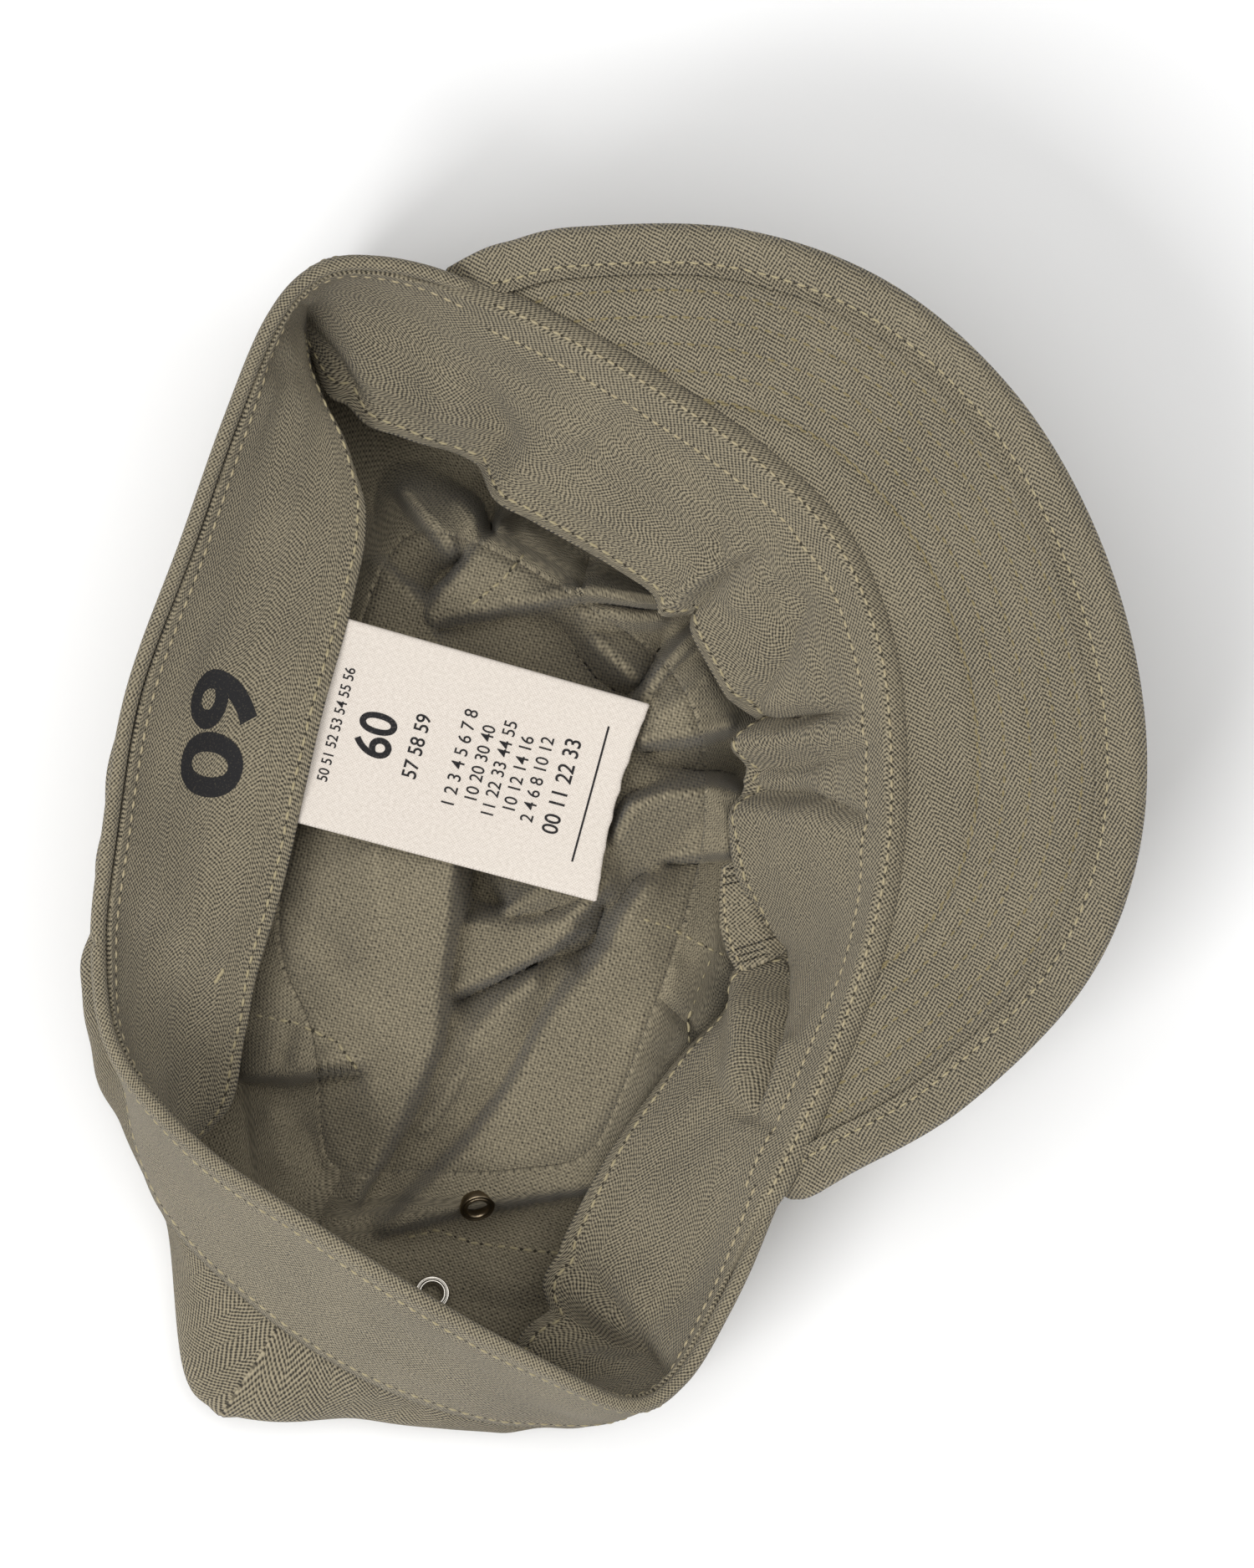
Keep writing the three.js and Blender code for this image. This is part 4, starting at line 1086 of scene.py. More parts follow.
def sewn(name, lines, pitch, size, material, sink=0.0, offset=0.0, rings=5):
    # beads along lines of (points, ways out); sink lowers them into the cloth, and offset
    # moves them along the line by a share of the pitch
    template, quads = bead(*size, rings)
    allPoints, allQuads, count = [], [], 0
    rng = np.random.default_rng(len(name))
    for points, ways in lines:
        placed, facing, run = evenly(points, ways, pitch)
        placed = placed + run * offset * pitch
        run = unit(run + stitchStray * rng.standard_normal(run.shape))
        side = unit(np.cross(facing, run))
        facing = unit(np.cross(run, side))
        made = (
            (placed - facing * sink)[:, None]
            + run[:, None] * template[None, :, :1]
            + side[:, None] * template[None, :, 1:2]
            + facing[:, None] * template[None, :, 2:]
        )
        allPoints.append(made.reshape(-1, 3))
        starts = count + np.arange(len(placed)) * len(template)
        allQuads.append((quads[None] + starts[:, None, None]).reshape(-1, 4))
        count += made.shape[0] * made.shape[1]
    piece = makeMesh(name, np.concatenate(allPoints), np.concatenate(allQuads), None, material)
    return ready(piece, "twill")


stitch = dict(pitch=2.7, length=2.1, width=0.62, high=0.66, dip=0.24, sink=0.02)
# the dark beads at the needle holes are painted shade: the shadow inside each hole
needleHoleShade = dict(wide=0.7, high=0.2, sink=0.03)


def stitchRow(name, lines, thread, pitch=None, holeShades=True):
    # a row of stitches with a needle hole between each two, drawn as a dark bead of painted shade
    pitch = pitch or stitch["pitch"]
    long = pitch * stitch["length"] / stitch["pitch"]
    size = (long, stitch["width"], stitch["high"], stitch["dip"])
    sewn(name, lines, pitch, size, thread, stitch["sink"])
    if holeShades:
        size = (needleHoleShade["wide"], needleHoleShade["wide"], needleHoleShade["high"], 0.0)
        sewn(name + "_holes", lines, pitch, size, holeShade, needleHoleShade["sink"], offset=0.5, rings=3)


# The crown

def crownPanel(name, start, end):
    turns = int((end - start) * 24)
    shares = np.concatenate([
        np.linspace(0, 0.03, 9)[:-1],
        np.linspace(0.03, crown["widest"], 24)[:-1],
        np.linspace(crown["widest"], crown["ground"], 16)[:-1],
        np.linspace(crown["ground"], crown["ring"], 46),
    ])
    at, share = np.meshgrid(np.linspace(start + 0.01, end - 0.01, turns), shares, indexing="ij")
    grid = crownPoint(at, share)
    # both edges of the panel are drawn in along their seam
    run = lengths(grid, 0)
    fromSeam = np.minimum(run, run[-1:] - run)
    sunk = crown["seamSink"] * np.exp(-((fromSeam / crown["seamWide"]) ** 2)) * smooth(0.01, 0.06, share)
    grid = grid - gridNormals(grid, False) * sunk[..., None]
    run = run - run[turns // 2]
    down = np.broadcast_to(lengths(grid, 1).mean(0), run.shape)
    uv = np.stack([down, run], axis=-1)
    piece = clothWall(name, grid, uv, cap["crownWall"], clothTwill, reverse=twillBack)
    ready(piece, "twill", name)


def crownTop():
    steps = 190
    u, v = np.meshgrid(np.linspace(-1, 1, steps), np.linspace(-1, 1, steps), indexing="ij")
    at, out = squareToRound(u, v)
    share = 1 - out * (1 - crown["ring"] + crown["lap"])
    grid = crownPoint(at, share)
    grid[..., 2] -= crown["lapDrop"] * (1 - smooth(crown["ring"], crown["ring"] + 0.02, share))
    piece = clothWall("crown_top", grid, grid[..., :2], cap["crownWall"], clothTwill, reverse=twillBack)
    ready(piece, "twill", "crown_top")


def foldPlace(x, y):
    # points on the shown face of the folded cloth, and their ways out
    step = 0.4
    slopeX = (foldedHeight(x + step, y) - foldedHeight(x - step, y)) / (2 * step)
    slopeY = (foldedHeight(x, y + step) - foldedHeight(x, y - step)) / (2 * step)
    way = unit(stack(-slopeX, -slopeY, 1))
    return stack(x, y, foldedHeight(x, y) + cap["crownWall"]), way


# each side panel's first and last rim station
panelRows = [
    ("crown_front", -2.4, 5.2),
    ("crown_right", 5.2, 12.1),
    ("crown_back", 12.1, 18.2),
    ("crown_left", 18.2, 24.6),
]
for name, start, end in panelRows:
    crownPanel(name, start, end)
crownTop()
print("crown made")


# The band and the sweatband

bandTurns = 540  # rings of points round them
sweatSteps = 46  # and points down the sweatband
# the band's rolled edge: how far each point lies below the rim and outside the wall's middle
roll = [
    (3, 1.1), (2, 1.05), (1.1, 0.85), (0.4, 0.4), (0, -0.2), (0, -0.9), (0.3, -1.5), (0.8, -1.85),
    (1.4, -2.0), (1.9, -2.0), (2.3, -1.95), (2.6, -1.8), (2.9, -1.5), (3.1, -1.1),
]
# the join of the band's two ends at the back: its station, how deep it is and how wide
bandJoin = dict(at=14.95, deep=0.55, wide=0.7)


def bandWave(at, downBy):
    # soft unevenness of the wall, none at the seam
    wave = 0.5 * ripple(at * stationWide, downBy, 30, 11)
    return wave * smooth(cap["bandHeight"], 38, downBy) * smooth(0, 10, downBy)


def makeBand():
    half = cap["bandWall"] / 2
    outside = np.linspace(cap["bandHeight"], 4, 26)
    inside = np.linspace(4, cap["bandHeight"], 13)
    down = np.concatenate([outside, [row[0] for row in roll], inside])
    out = np.concatenate([outside * 0 + half, [row[1] for row in roll], inside * 0 - half])
    at = np.arange(bandTurns) * stations / bandTurns
    at, downBy = np.meshgrid(at, down, indexing="ij")
    outBy = np.broadcast_to(out, at.shape)
    # along the peak the roll is pushed flat, under the sweatband's turned edge
    front = frontShare(at)
    outBy = np.where(outBy < -1, outBy + (np.maximum(outBy, -1.5) - outBy) * front, outBy)
    downBy = downBy + (np.maximum(downBy, 3.0) - downBy) * front
    wave = bandWave(at, downBy)
    joinGap = stationGap(at, bandJoin["at"]) * 24
    join = bandJoin["deep"] * np.exp(-((joinGap / bandJoin["wide"]) ** 2)) * np.where(outBy > -1.3, 1, 0)
    grid = bandPoint(at, downBy + join * (downBy < 3), outBy + wave - join)
    run = lengths(np.concatenate([grid[:, :1], grid[:1, :1]]), 0)[:, 0]
    # the weave's stripes keep the width that they have at the back
    back = bandTurns // 2
    ring = lengths(np.concatenate([grid[back : back + 1], grid[back : back + 1, :1]], axis=1), 1)[0]
    uv = np.stack(np.meshgrid(run, ring, indexing="ij"), axis=-1)
    ready(sweep("band", grid, uv, rubbedTwill, closed=True), "twill", "band")


def makeSweatband():
    at = np.arange(bandTurns) * stations / bandTurns
    wrap = np.linspace(1, 0, 9)[:-1]
    atWrap, over = np.meshgrid(at, wrap, indexing="ij")
    atMain, share = np.meshgrid(at, np.linspace(0, 1, sweatSteps), indexing="ij")
    grid = np.concatenate([sweatWrap(atWrap, over), sweatPoint(atMain, share)], axis=1)
    # soft unevenness, none at the sewn edge
    waves = 0.35 * ripple(atMain * 18, share * 40, 16, 21) * smooth(0.02, 0.3, share)
    normal = gridNormals(grid, True)
    grid[:, len(wrap):] += normal[:, len(wrap):] * waves[..., None]
    run = lengths(np.concatenate([grid, grid[:1]]), 0)
    run = run / run[-1] * run[-1].mean()
    uv = np.stack([run, np.broadcast_to(lengths(grid, 1)[0], run.shape)], axis=-1)
    piece = clothWall("sweatband", grid, uv, sweat["wall"], rubbedTwill, closed=True)
    ready(piece, "twill", "sweatband")
    return grid, len(wrap)


makeBand()
sweatGrid, wrapSteps = makeSweatband()
print("band and sweatband made")


# The peak

# the rows of stitches: how far in from the peak's edge the first and the last lie, how many
# lie between them and how far apart, and how deep and wide each draws the cloth in
quilt = dict(first=13.4, pitch=5.6, rows=5, last=36.3, sink=0.7, wide=1.0)
# the crease beside the hem: how far past its edge, how deep and how wide; and where the rows
# of points lie, close together at the crease, in millimetres in from the peak's edge
crease = dict(past=0.5, deep=1.3, wide=0.38)
creaseNear = [0, 3, 6, 8, 8.7, 9, 9.15, 9.3, 9.45, 9.6, 9.75, 9.9, 10.1, 10.4]
creaseZone = 1.8  # they go on so far past the hem
hemStitchIn = 2  # from the hem's edge to its stitches
quiltRows = [quilt["first"] + k * quilt["pitch"] for k in range(quilt["rows"])] + [quilt["last"]]
peakHalf = cap["peakWall"] / 2
peakInner = peakHalf + cap["seamGap"]
peakOuter = peakHalf + cap["seamGap"] + cap["clothWall"]


def peakSurface(share, inBy, up, side):
    # the peak's face, drawn in along the stitch rows; side is 1 for the face that shows
    sunk = 0
    for row in quiltRows:
        sunk = sunk + quilt["sink"] * np.exp(-(((inBy - row) / quilt["wide"]) ** 2))
    fromCrease = inBy - cap["hemWidth"] - crease["past"]
    sunk = sunk + crease["deep"] * np.exp(-((fromCrease / crease["wide"]) ** 2))
    sunk = sunk * smooth(1, 5, peakDepth(share) - inBy)
    return peakOffset(share, inBy, side * (up - sunk))


def makePeak():
    half, inner, outer = peakHalf, peakInner, peakOuter
    share = np.linspace(0, 1, peak["turns"])
    depth = peakDepth(share)
    start = np.minimum(cap["clothWall"] + cap["seamGap"], depth / 3)
    # underside board: up one face and back along the other
    zone = cap["hemWidth"] + creaseZone
    near = np.array(creaseNear) / zone
    edgeZone = np.minimum(zone, depth / 2)[:, None]
    first = start[:, None] + (edgeZone - start[:, None]) * near
    rest = edgeZone + (depth[:, None] - edgeZone) * np.linspace(0, 1, 54)
    inBy = np.concatenate([first, rest], axis=1)
    shares = np.broadcast_to(share[:, None], inBy.shape)
    upper = peakSurface(shares, inBy, half, 1)
    lower = peakOffset(shares, inBy, -half)
    rings = np.concatenate([lower, upper[:, ::-1]], axis=1)
    uv = peakUv(rings)
    under = sweep("peak_under", rings, uv, clothTwill, closed=False)
    ready(under, "twill", "peak_under")
    # outer cloth: along the top, round the edge, and back as a hem
    hem = np.minimum(cap["hemWidth"], depth * 0.8)
    wrap = np.minimum(cap["clothWall"], depth / 4)
    turn = np.linspace(-90, 90, 9)
    rows = []
    bend = wrap * 1.6
    for s in np.linspace(1, 0, 60)[:-1]:
        rows.append((bend + (depth - bend) * s, 0 * depth - outer))
    for t in np.radians(turn):
        rows.append((bend * (1 - np.cos(t)), outer * np.sin(t) + 0 * depth))
    hemSteps = 24
    for s in np.linspace(0, 1, hemSteps)[1:]:
        inBy = bend + (hem - bend) * s
        # the ridge along the hem's seam, and the dip of its stitches
        fromSeam = (1 - s) * cap["hemWidth"]
        ridge = 0.95 * math.exp(-((fromSeam / 0.9) ** 2))
        dip = 0.35 * math.exp(-(((fromSeam - hemStitchIn) / 0.7) ** 2))
        rows.append((inBy, 0 * depth + outer + (ridge - dip)))
    back = len(rows)
    for k in range(back):
        inBy, up = rows[back - 1 - k]
        rows.append((np.maximum(inBy, wrap), np.clip(up, -inner, inner)))
    rings = np.stack([peakOffset(share, inBy, up) for inBy, up in rows], axis=1)
    cover = sweep("peak_cover", rings, peakUv(rings), clothTwill, closed=False)
    ready(cover, "twill", "peak_cover")


def peakUv(rings):
    # the weave's stripes run along the peak's chord
    wrapped = np.concatenate([rings, rings[:, :1]], axis=1)
    turn = math.radians(105)
    run = wrapped[..., 0] * math.cos(turn) + wrapped[..., 1] * math.sin(turn)
    side = wrapped[..., 0] * math.sin(turn) - wrapped[..., 1] * math.cos(turn)
    return np.stack([run, side * 1.1], axis=-1)


def peakLine(inBy, up, side=1, margin=2.0, samples=700):
    # a line along the peak at one distance in from its edge, where the peak is deep enough
    share = np.linspace(0, 1, samples)
    share = share[peakDepth(share) > inBy + margin]
    at = np.full(share.shape, float(inBy))
    points = peakSurface(share, at, up, side)
    above = peakOffset(share, at, side * (up + 1))
    return points, unit(above - points)


makePeak()
stitchRow("peak_stitching", [peakLine(row, peakHalf) for row in quiltRows], darkThread)
hemLine = peakLine(cap["hemWidth"] - hemStitchIn, peakOuter - 0.2)
stitchRow("peak_hem_stitching", [hemLine], oliveThread)
topLines = [peakLine(row, peakOuter + 0.4, side=-1) for row in quiltRows]
stitchRow("peak_top_stitching", topLines, darkThread, holeShades=False)
print("peak made")


# Stitch rows of the rim, the sweatband and the band

closedSweat = np.concatenate([sweatGrid, sweatGrid[:1]])
sweatWays = gridNormals(sweatGrid, True)
closedWays = np.concatenate([sweatWays, sweatWays[:1]])


def onSweat(at, column):
    # points and ways out at a rim station and a column of the sweatband's grid, and whether
    # these ways face the hollow (1) or the band (-1)
    i = np.mod(at, stations) / stations * len(sweatGrid)
    points, ways = onGrid(closedSweat, i, column), unit(onGrid(closedWays, i, column))
    hollow = np.array([*crown["centre"], 70.0])
    return points, ways, np.sign(((hollow - points) * ways).sum(-1))


def sweatLine(first, last, column):
    # a line on the sweatband's shown face, from station first to last
    at = np.linspace(first, last, int(abs(last - first) * 60))
    points, ways, inward = onSweat(at, np.full(at.shape, float(column)))
    # the turned edge faces up, and the rest faces the hollow
    facing = ways[:, 2].mean() if column < wrapSteps else inward.mean()
    ways = ways * (1 if facing > 0 else -1)
    return points + ways * sweat["wall"] / 2, ways


# columns of the grid: the hem's stitches, the two rows along the peak, and the rim's seam
hemColumn = wrapSteps + (sweatSteps - 1) * (1 - sweat["hemStitch"] / cap["bandHeight"])
rowOne, rowTwo = 5.5, wrapSteps + 6.6
seamColumn = wrapSteps + 3.4
stitchRow("rim_stitching", [sweatLine(-3.0, 6.6, rowOne), sweatLine(-3.0, 6.6, rowTwo)], paleThread, 2.4)
stitchRow("rim_seam_stitching", [sweatLine(6.9, 24.0, seamColumn)], paleThread)
stitchRow("sweatband_hem_stitching", [sweatLine(0, stations, hemColumn)], oliveThread, 3.0)


def bandLine(first, last, downBy):
    at = np.linspace(first, last, int(abs(last - first) * 60))
    outBy = cap["bandWall"] / 2 + bandWave(at, downBy + 0 * at)
    return bandPoint(at, downBy, outBy), rimFrame(at)[2]


stitchRow("band_lower_stitching", [bandLine(0, stations, 41.0)], oliveThread)
stitchRow("band_upper_stitching", [bandLine(6.5, 24.4, 4.2)], oliveThread)
print("stitches made")


# The crown's seams inside, where their stitching shows, in plan
seamLines = [
    [(5, -17.9), (10.4, -19.6), (18.6, -24), (23.5, -26.1)],
    [(-71.5, -37), (-62.9, -38.6), (-54.8, -42.4), (-50.7, -48)],
    [(-28.7, 43.6), (-22.2, 48.9), (-18.1, 53.8)],
    [(-41.7, -81.5), (-35.2, -79.9), (-28.7, -82.3), (-15.6, -84), (-7.5, -84.8)],
    [(18.9, -25.6), (16.1, -32.3), (14.5, -37.8), (14.5, -47.3)],
]


def foldLine(points):
    line = alongLine([(x, y, 0) for x, y in points], 0.8)
    return foldPlace(line[:, 0], line[:, 1])


stitchRow("crown_seam_stitching", [foldLine(line) for line in seamLines], oliveThread)

# The piece of the sweatband's hem that is turned over: its fold and its free edge in plan,
# and how far it goes on under the sweatband beyond the fold
turnedHem = dict(
    fold=[(22.6, -7, 22), (25.5, -13.5, 21.5), (28, -18.5, 21), (30.6, -23.6, 20.5), (29.6, -26.2, 20.5)],
    free=[(21.4, -7.5, 21), (20.9, -14, 20), (21, -19.6, 19), (22.4, -24.6, 18.5), (24.4, -28.4, 19)],
    under=4.0,
    dive=3.0,  # how far that part goes down there
    thick=0.9,
)


def makeTurnedHem():
    rows, columns = 60, 22
    fold, free = (alongLine(turnedHem[name], 0.5) for name in ("fold", "free"))
    fold, free = (line[np.linspace(0, len(line) - 1, rows).astype(int)] for line in (fold, free))
    wide = np.linalg.norm(fold - free, axis=1, keepdims=True)
    beyond = fold + (fold - free) * turnedHem["under"] / np.maximum(wide, 2)
    across = np.linspace(0, 1, columns)[None, :, None]
    grid = beyond[:, None] * (1 - across) + free[:, None] * across
    grid[..., 2] -= turnedHem["dive"] * (1 - smooth(0, 0.45, across[..., 0]))
    piece = clothWall("sweatband_turned_hem", grid, grid[..., :2], turnedHem["thick"], rubbedTwill)
    ready(piece, "twill")
    up = np.broadcast_to(np.array([0.0, 0.0, 1.0]), free.shape)
    inset = free + (fold - free) * 0.12 + np.array([0, 0, turnedHem["thick"] / 2])
    stitchRow("turned_hem_stitching", [(inset, up)], paleThread, 2.0)


makeTurnedHem()


def nearestOn(grid, x, y):
    # the grid's point nearest to a place in plan
    gap = np.hypot(grid[..., 0] - x, grid[..., 1] - y)
    return np.unravel_index(gap.argmin(), gap.shape)


barTack = dict(long=2.6, count=12, pitch=0.7, stitch=(1.3, 0.9, 0.7, 0.1), proud=0.1)


def tack(name, grid, x, y, turn):
    # a short bar of close stitches on a shown face
    i, j = nearestOn(grid, x, y)
    way = gridNormals(grid, True)[i, j]
    way = way * np.sign(way[2])
    run = np.array([math.cos(turn), math.sin(turn), 0])
    run = unit(run - way * (run @ way))
    spots = np.linspace(-barTack["long"] / 2, barTack["long"] / 2, barTack["count"])[:, None]
    points = grid[i, j] + way * (sweat["wall"] / 2 + barTack["proud"]) + run * spots
    line = (points, np.broadcast_to(way, points.shape))
    sewn(name, [line], barTack["pitch"], barTack["stitch"], oliveThread)


tack("sweatband_tack", sweatGrid, -78.2, -29.3, math.radians(60))
print("seams and threads made")


# Eyelets

eyelet = dict(
    bore=2.0,
    turns=48,
    # how far each point lies past the bore, and how high: two rolled rings on a flat flange
    profile=[
        (0.0, -0.55), (0.25, -0.95), (0.7, -1.1), (1.0, -0.8), (1.45, -0.75), (1.5, -0.6),
        (1.5, 0.75), (1.4, 1.0), (1.2, 1.1), (1.0, 1.02), (0.88, 0.9), (0.78, 1.02),
        (0.55, 1.2), (0.3, 1.15), (0.08, 0.9), (0.0, 0.5),
    ],
)
# the two on the right are out of sight, at these stations of the crown's widest line
hiddenEyelets = [("eyelet_right_front", 9.9), ("eyelet_right_rear", 11.7)]
# where the others lie in plan, how far each stands over the fold, which way it faces, and its metal; the
# near one's darker metal is partly tarnish and partly painted shade for the shadow it lies in
eyeletRows = [
    ("eyelet_left_front", -27.4, -74.6, 1.0, (0.2, -0.7, 0.7), tarnishedShadedBrass),
    ("eyelet_left_rear", -36.4, -92.5, 2.2, (0.1, 0.25, 1.0), nickel),
]


def crownNormal(at, share):
    ahead = crownPoint(at + 0.1, share) - crownPoint(at - 0.1, share)
    inward = crownPoint(at, share + 0.02) - crownPoint(at, share - 0.02)
    return unit(np.cross(ahead, inward))


def makeEyelet(name, centre, facing, material):
    side = unit(np.cross(facing, np.array([0.3, 0.9, 0.1])))
    other = np.cross(facing, side)
    turns = eyelet["turns"]
    angle = np.arange(turns) * 2 * math.pi / turns
    spoke = np.cos(angle)[:, None] * side + np.sin(angle)[:, None] * other
    rings = [centre + (eyelet["bore"] + past) * spoke + facing * up for past, up in eyelet["profile"]]
    uv = np.zeros((turns + 1, len(rings) + 1, 2))
    ready(sweep(name, np.stack(rings, axis=1), uv, material, closed=True), "nickel", name)


for name, x, y, proud, facing, metal in eyeletRows:
    centre = foldPlace(np.array([x]), np.array([y]))[0]
    makeEyelet(name, centre[0] + np.array([0, 0, proud]), unit(np.array(facing)), metal)
for name, station in hiddenEyelets:
    at, share = np.array(station), np.array(crown["widest"])
    makeEyelet(name, crownPoint(at, share), crownNormal(at, share), nickel)
print("eyelets made")


# The label, sewn under the sweatband's hem, with its far corners down on the folds

label = dict(
    # its sewn corners, as rim stations and shares of the way down the sweatband, and its far ones
    near=((12.2, 0.95), (13.6, 0.95)),
    far=((6.4, 24, 25.5), (-4, -14.2, 25)),
    wide=39.5,
    long=57.0,
    wall=0.8,
    under=2.0,  # how far behind the sweatband its sewn edge lies
    sag=1.5,
    curl=0.9,
    fray=0.0022,  # of its length, at the far edge
)


def labelPoint(down, across):
    # down runs from its sewn edge to its far edge, across from one side to the other
    edges = []
    for (at, share), far in zip(label["near"], label["far"]):
        way = rimFrame(np.array(at))[2]
        near = push(sweatPoint(np.array(at), np.array(share)), way, label["under"])
        edges.append(mix(near, np.array(far, float), down))
    point = edges[0] + (edges[1] - edges[0]) * across[..., None]
    curl = label["curl"] * np.sin(5 * down + 2 * across) * down - label["sag"] * np.sin(math.pi * down)
    point[..., 2] += curl + 0.5 * down**3 * np.cos(2 * math.pi * across)
    return point


def makeLabel():
    rows, columns = 90, 64
    down, across = np.meshgrid(np.linspace(0, 1, rows), np.linspace(0, 1, columns), indexing="ij")
    fray = label["fray"] * (1 + ripple(across * 40, 0 * across, 4, 31))
    fray = 1 - fray - 0.02 * np.sin(math.pi * across)
    grid = labelPoint(down * fray, across)
    uv = np.stack([down * label["long"], across * label["wide"]], axis=-1)
    piece = clothWall("label", grid, uv, label["wall"], cotton)
    ready(piece, "cotton", "label")


# how far the print stands out, and how long an edge may be before it is split, so many times
printed = dict(proud=0.1, longest=1.6, splits=5)


def printOn(name, text, size, centre, reading, upward, place, slot, material, bold=0.0):
    # plain numbers as a thin print. place(u, v) gives points and ways out, u and v in
    # millimetres; reading and upward say which way the text runs and stands in u and v.
    curve = bpy.data.curves.new(name, "FONT")
    curve.body, curve.size, curve.offset = text, size, bold
    curve.align_x, curve.align_y = "CENTER", "CENTER"
    curve.fill_mode = "BOTH"
    holder = bpy.data.objects.new(name + "_text", curve)
    bpy.context.collection.objects.link(holder)
    bpy.context.view_layer.update()
    flat = bpy.data.meshes.new_from_object(holder.evaluated_get(bpy.context.evaluated_depsgraph_get()))
    bpy.data.objects.remove(holder)
    piece = bpy.data.objects.new(name, flat)
    bpy.context.collection.objects.link(piece)
    work = bmesh.new()
    work.from_mesh(flat)
    bmesh.ops.triangulate(work, faces=work.faces)
    for _ in range(printed["splits"]):
        long = [edge for edge in work.edges if edge.calc_length() > printed["longest"]]
        if not long:
            break
        bmesh.ops.subdivide_edges(work, edges=long, cuts=1)
        bmesh.ops.triangulate(work, faces=work.faces)
    spots = np.array([vertex.co[:] for vertex in work.verts])
    u = centre[0] + spots[:, 0] * reading[0] + spots[:, 1] * upward[0]
    v = centre[1] + spots[:, 0] * reading[1] + spots[:, 1] * upward[1]
    points, ways = place(u, v)
    placed = toFrame(points + ways * printed["proud"])
    for vertex, spot in zip(work.verts, placed):
        vertex.co = spot
    work.to_mesh(flat)
    work.free()
    flat.materials.clear()
    flat.materials.append(material)
    ready(piece, slot)


def onLabel(u, v):
    down, across = u / label["long"], v / label["wide"]
    points = labelPoint(down, across)
    ahead = labelPoint(down + 0.01, across) - points
    side = labelPoint(down, across + 0.01) - points
    ways = unit(np.cross(ahead, side))
    ways = ways * np.where(ways[..., 2:] < 0, -1, 1)
    return points + ways * label["wall"] / 2, ways


makeLabel()
# its lines, read from the sewn edge outwards: their numbers, how high these are, how far down
# the label each line stands and how much bolder than plain it is
labelPrint = [
    ("50 51 52 53 54 55 56", 2.6, 6.4, 0.02),
    ("60", 9.0, 13.6, 0.14),
    ("57 58 59", 3.6, 20.6, 0.03),
    ("1 2 3 4 5 6 7 8", 3.3, 28.2, 0.01),
    ("10 20 30 40", 3.2, 31.8, 0.01),
    ("11 22 33 44 55", 3.2, 35.2, 0.01),
    ("10 12 14 16", 3.2, 38.6, 0.01),
    ("2 4 6 8 10 12", 3.2, 42.0, 0.01),
    ("00 11 22 33", 4.0, 46.4, 0.03),
]
labelRule = dict(down=51.4, first=6.0, last=33.5, wide=0.35)
for k, (text, size, down, bold) in enumerate(labelPrint):
    middle = (down, label["wide"] / 2)
    printOn(f"label_print_{k + 1}", text, size, middle, (0, -1), (-1, 0), onLabel, "cotton", labelInk, bold)


def ruleOn(name, rule, place, slot, material):
    # a thin printed line across
    count = 60
    across = np.linspace(rule["first"], rule["last"], count)
    edges = []
    for by in (-0.5, 0.5):
        points, ways = place(np.full(count, rule["down"] + by * rule["wide"]), across)
        edges.append(points + ways * printed["proud"])
    k = np.arange(count - 1)
    quads = np.stack([k, k + 1, count + k + 1, count + k], axis=1)
    ready(makeMesh(name, np.concatenate(edges), quads, None, material), slot)


ruleOn("label_rule", labelRule, onLabel, "cotton", labelInk)


stationLong = 25.0  # millimetres of sweatband to a station at the back


def onSweatband(u, v):
    # u runs along the sweatband and v down it, in millimetres at the back
    points, ways, inward = onSweat(u / stationLong, wrapSteps + v)
    ways = ways * inward[..., None]
    return points + ways * sweat["wall"] / 2, ways


stampPlace = (13.15 * stationLong, 25.0)
printOn("size_stamp", "60", 22.0, stampPlace, (1, 0), (0, 1), onSweatband, "twill", stampInk, 0.6)
print("label and print made")


# Floor, light and camera

# each lamp's place in plan millimetres, its size in metres and its watts
lampRows = [
    ("key_lower_left", (-700, -800, 1500), 0.7, 16.5),
    ("overhead", (0, 200, 1700), 1.4, 15.0),
    ("fill_left", (-1300, -250, 520), 1.0, 3.8),
    ("fill_right", (1200, 100, 900), 1.2, 4.0),
]
lampAim = (0, 0, 30)
worldGlow = 0.22


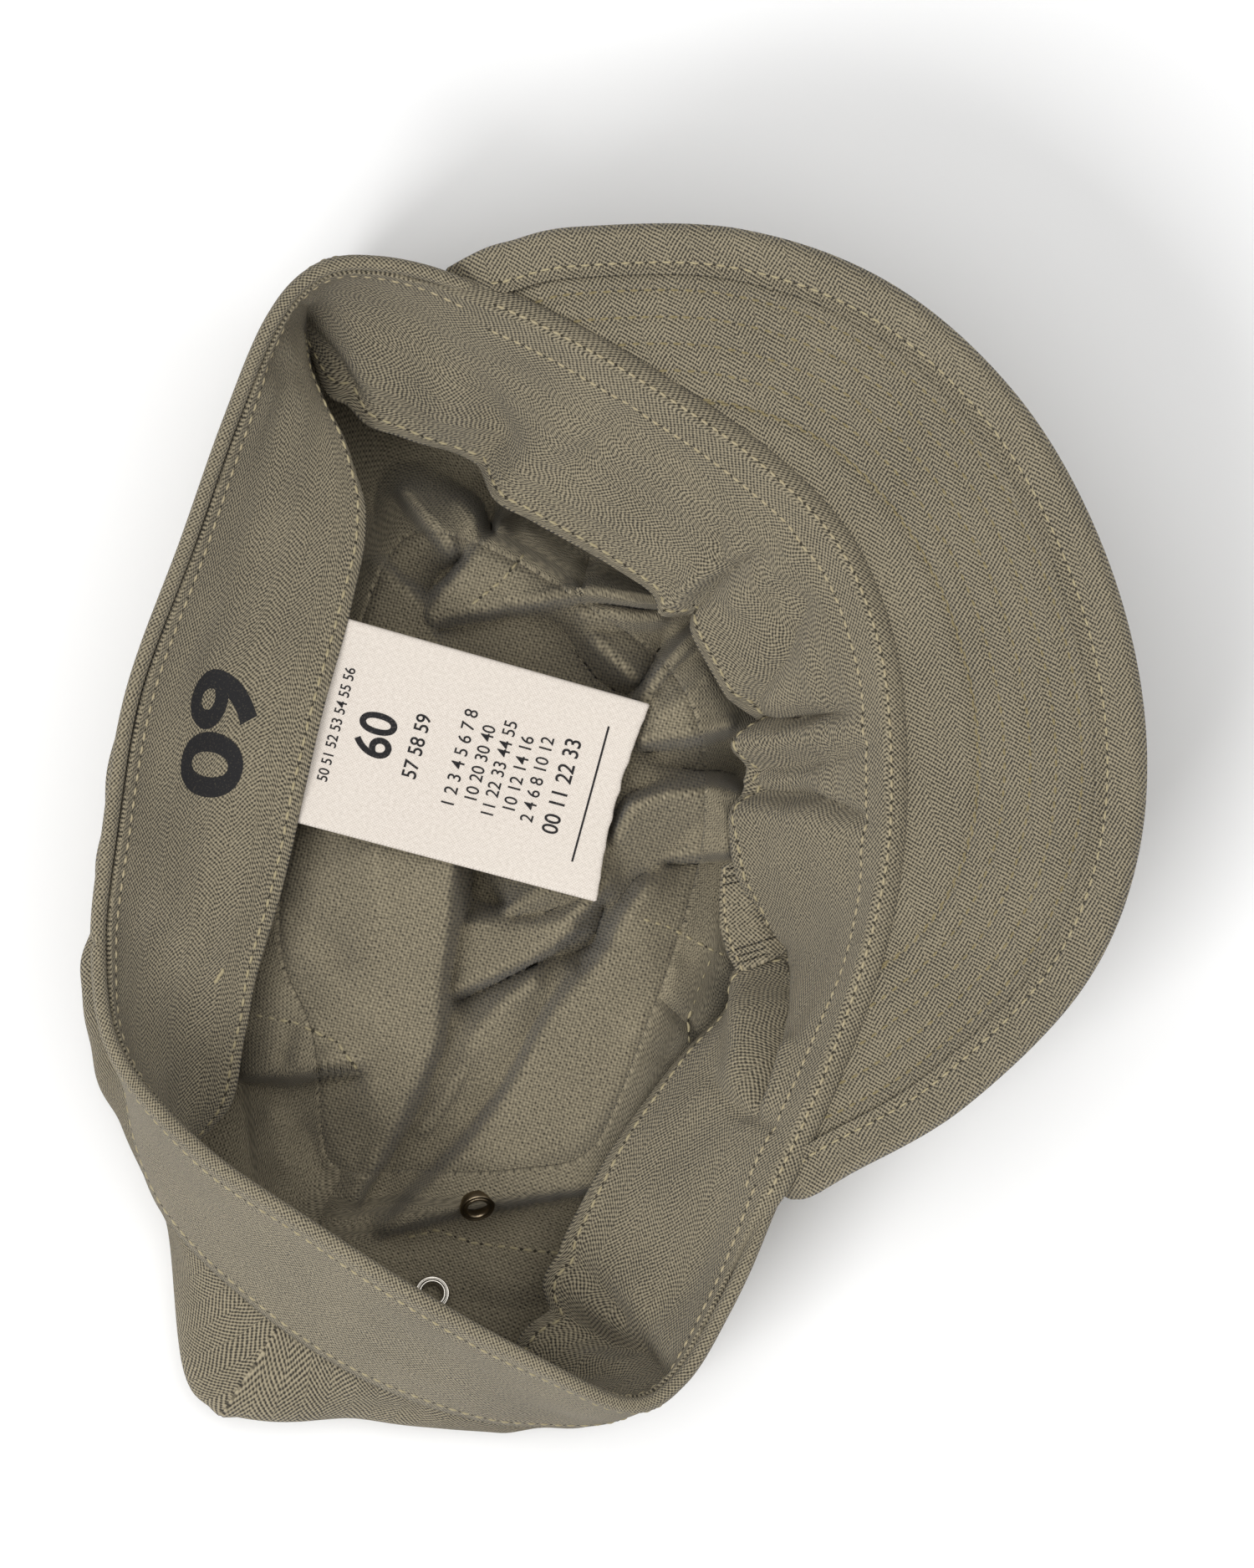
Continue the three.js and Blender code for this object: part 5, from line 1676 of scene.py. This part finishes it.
def softLight(name, spot, size, power):
    light = bpy.data.lights.new(name, "AREA")
    light.energy, light.size = power, size
    holder = bpy.data.objects.new(name, light)
    bpy.context.collection.objects.link(holder)
    place = toFrame(np.array(spot, float))
    way = toFrame(np.array(lampAim, float)) - place
    holder.location = place
    holder.rotation_euler = mathutils.Vector(way).to_track_quat("-Z", "Y").to_euler()


def makeFloor():
    mesh = bpy.data.meshes.new("floor")
    size = 3.0
    corners = [(-size, -size, 0), (size, -size, 0), (size, size, 0), (-size, size, 0)]
    mesh.from_pydata(corners, [], [(0, 1, 2, 3)])
    # white card: its faint tooth keeps it matt
    material, tree, shader = newMaterial("white_paper")
    place = addNode(tree, "TexCoord").outputs["Object"]
    tooth = addNode(tree, "TexNoise", {"Vector": place, "Scale": 300.0, "Detail": 2.0})
    connect(tree, shader, {
        "Normal": addNode(tree, "Bump", {"Strength": 0.05, "Distance": 0.0002, "Height": tooth}),
        "Base Color": fromHex("#FFFFFF"),
        "Roughness": 0.9,
    })
    mesh.materials.append(material)
    floor = bpy.data.objects.new("floor", mesh)
    bpy.context.collection.objects.link(floor)


makeFloor()
for row in lampRows:
    softLight(*row)

world = bpy.data.worlds.new("studio")
world.use_nodes = True
world.node_tree.nodes["Background"].inputs[0].default_value = (1, 1, 1, 1)
world.node_tree.nodes["Background"].inputs[1].default_value = worldGlow
bpy.context.scene.world = world
bpy.context.scene.view_settings.view_transform = "Standard"

# seen: the height of the picture in millimetres, in the plane of the rim
view = dict(plan=(2.28, 8.56), level=55.0, distance=3000.0, seen=305.6, sensor=36.0)
lens = bpy.data.cameras.new("camera")
lens.sensor_width = view["sensor"]
lens.lens = view["sensor"] * view["distance"] / view["seen"]
lens.clip_start, lens.clip_end = 0.1, 20.0
camera = bpy.data.objects.new("camera", lens)
bpy.context.collection.objects.link(camera)
camera.location = toFrame(np.array([*view["plan"], view["level"] + view["distance"]]))
camera.rotation_euler = (0, 0, capTurn)
bpy.context.scene.camera = camera

bpy.context.view_layer.update()
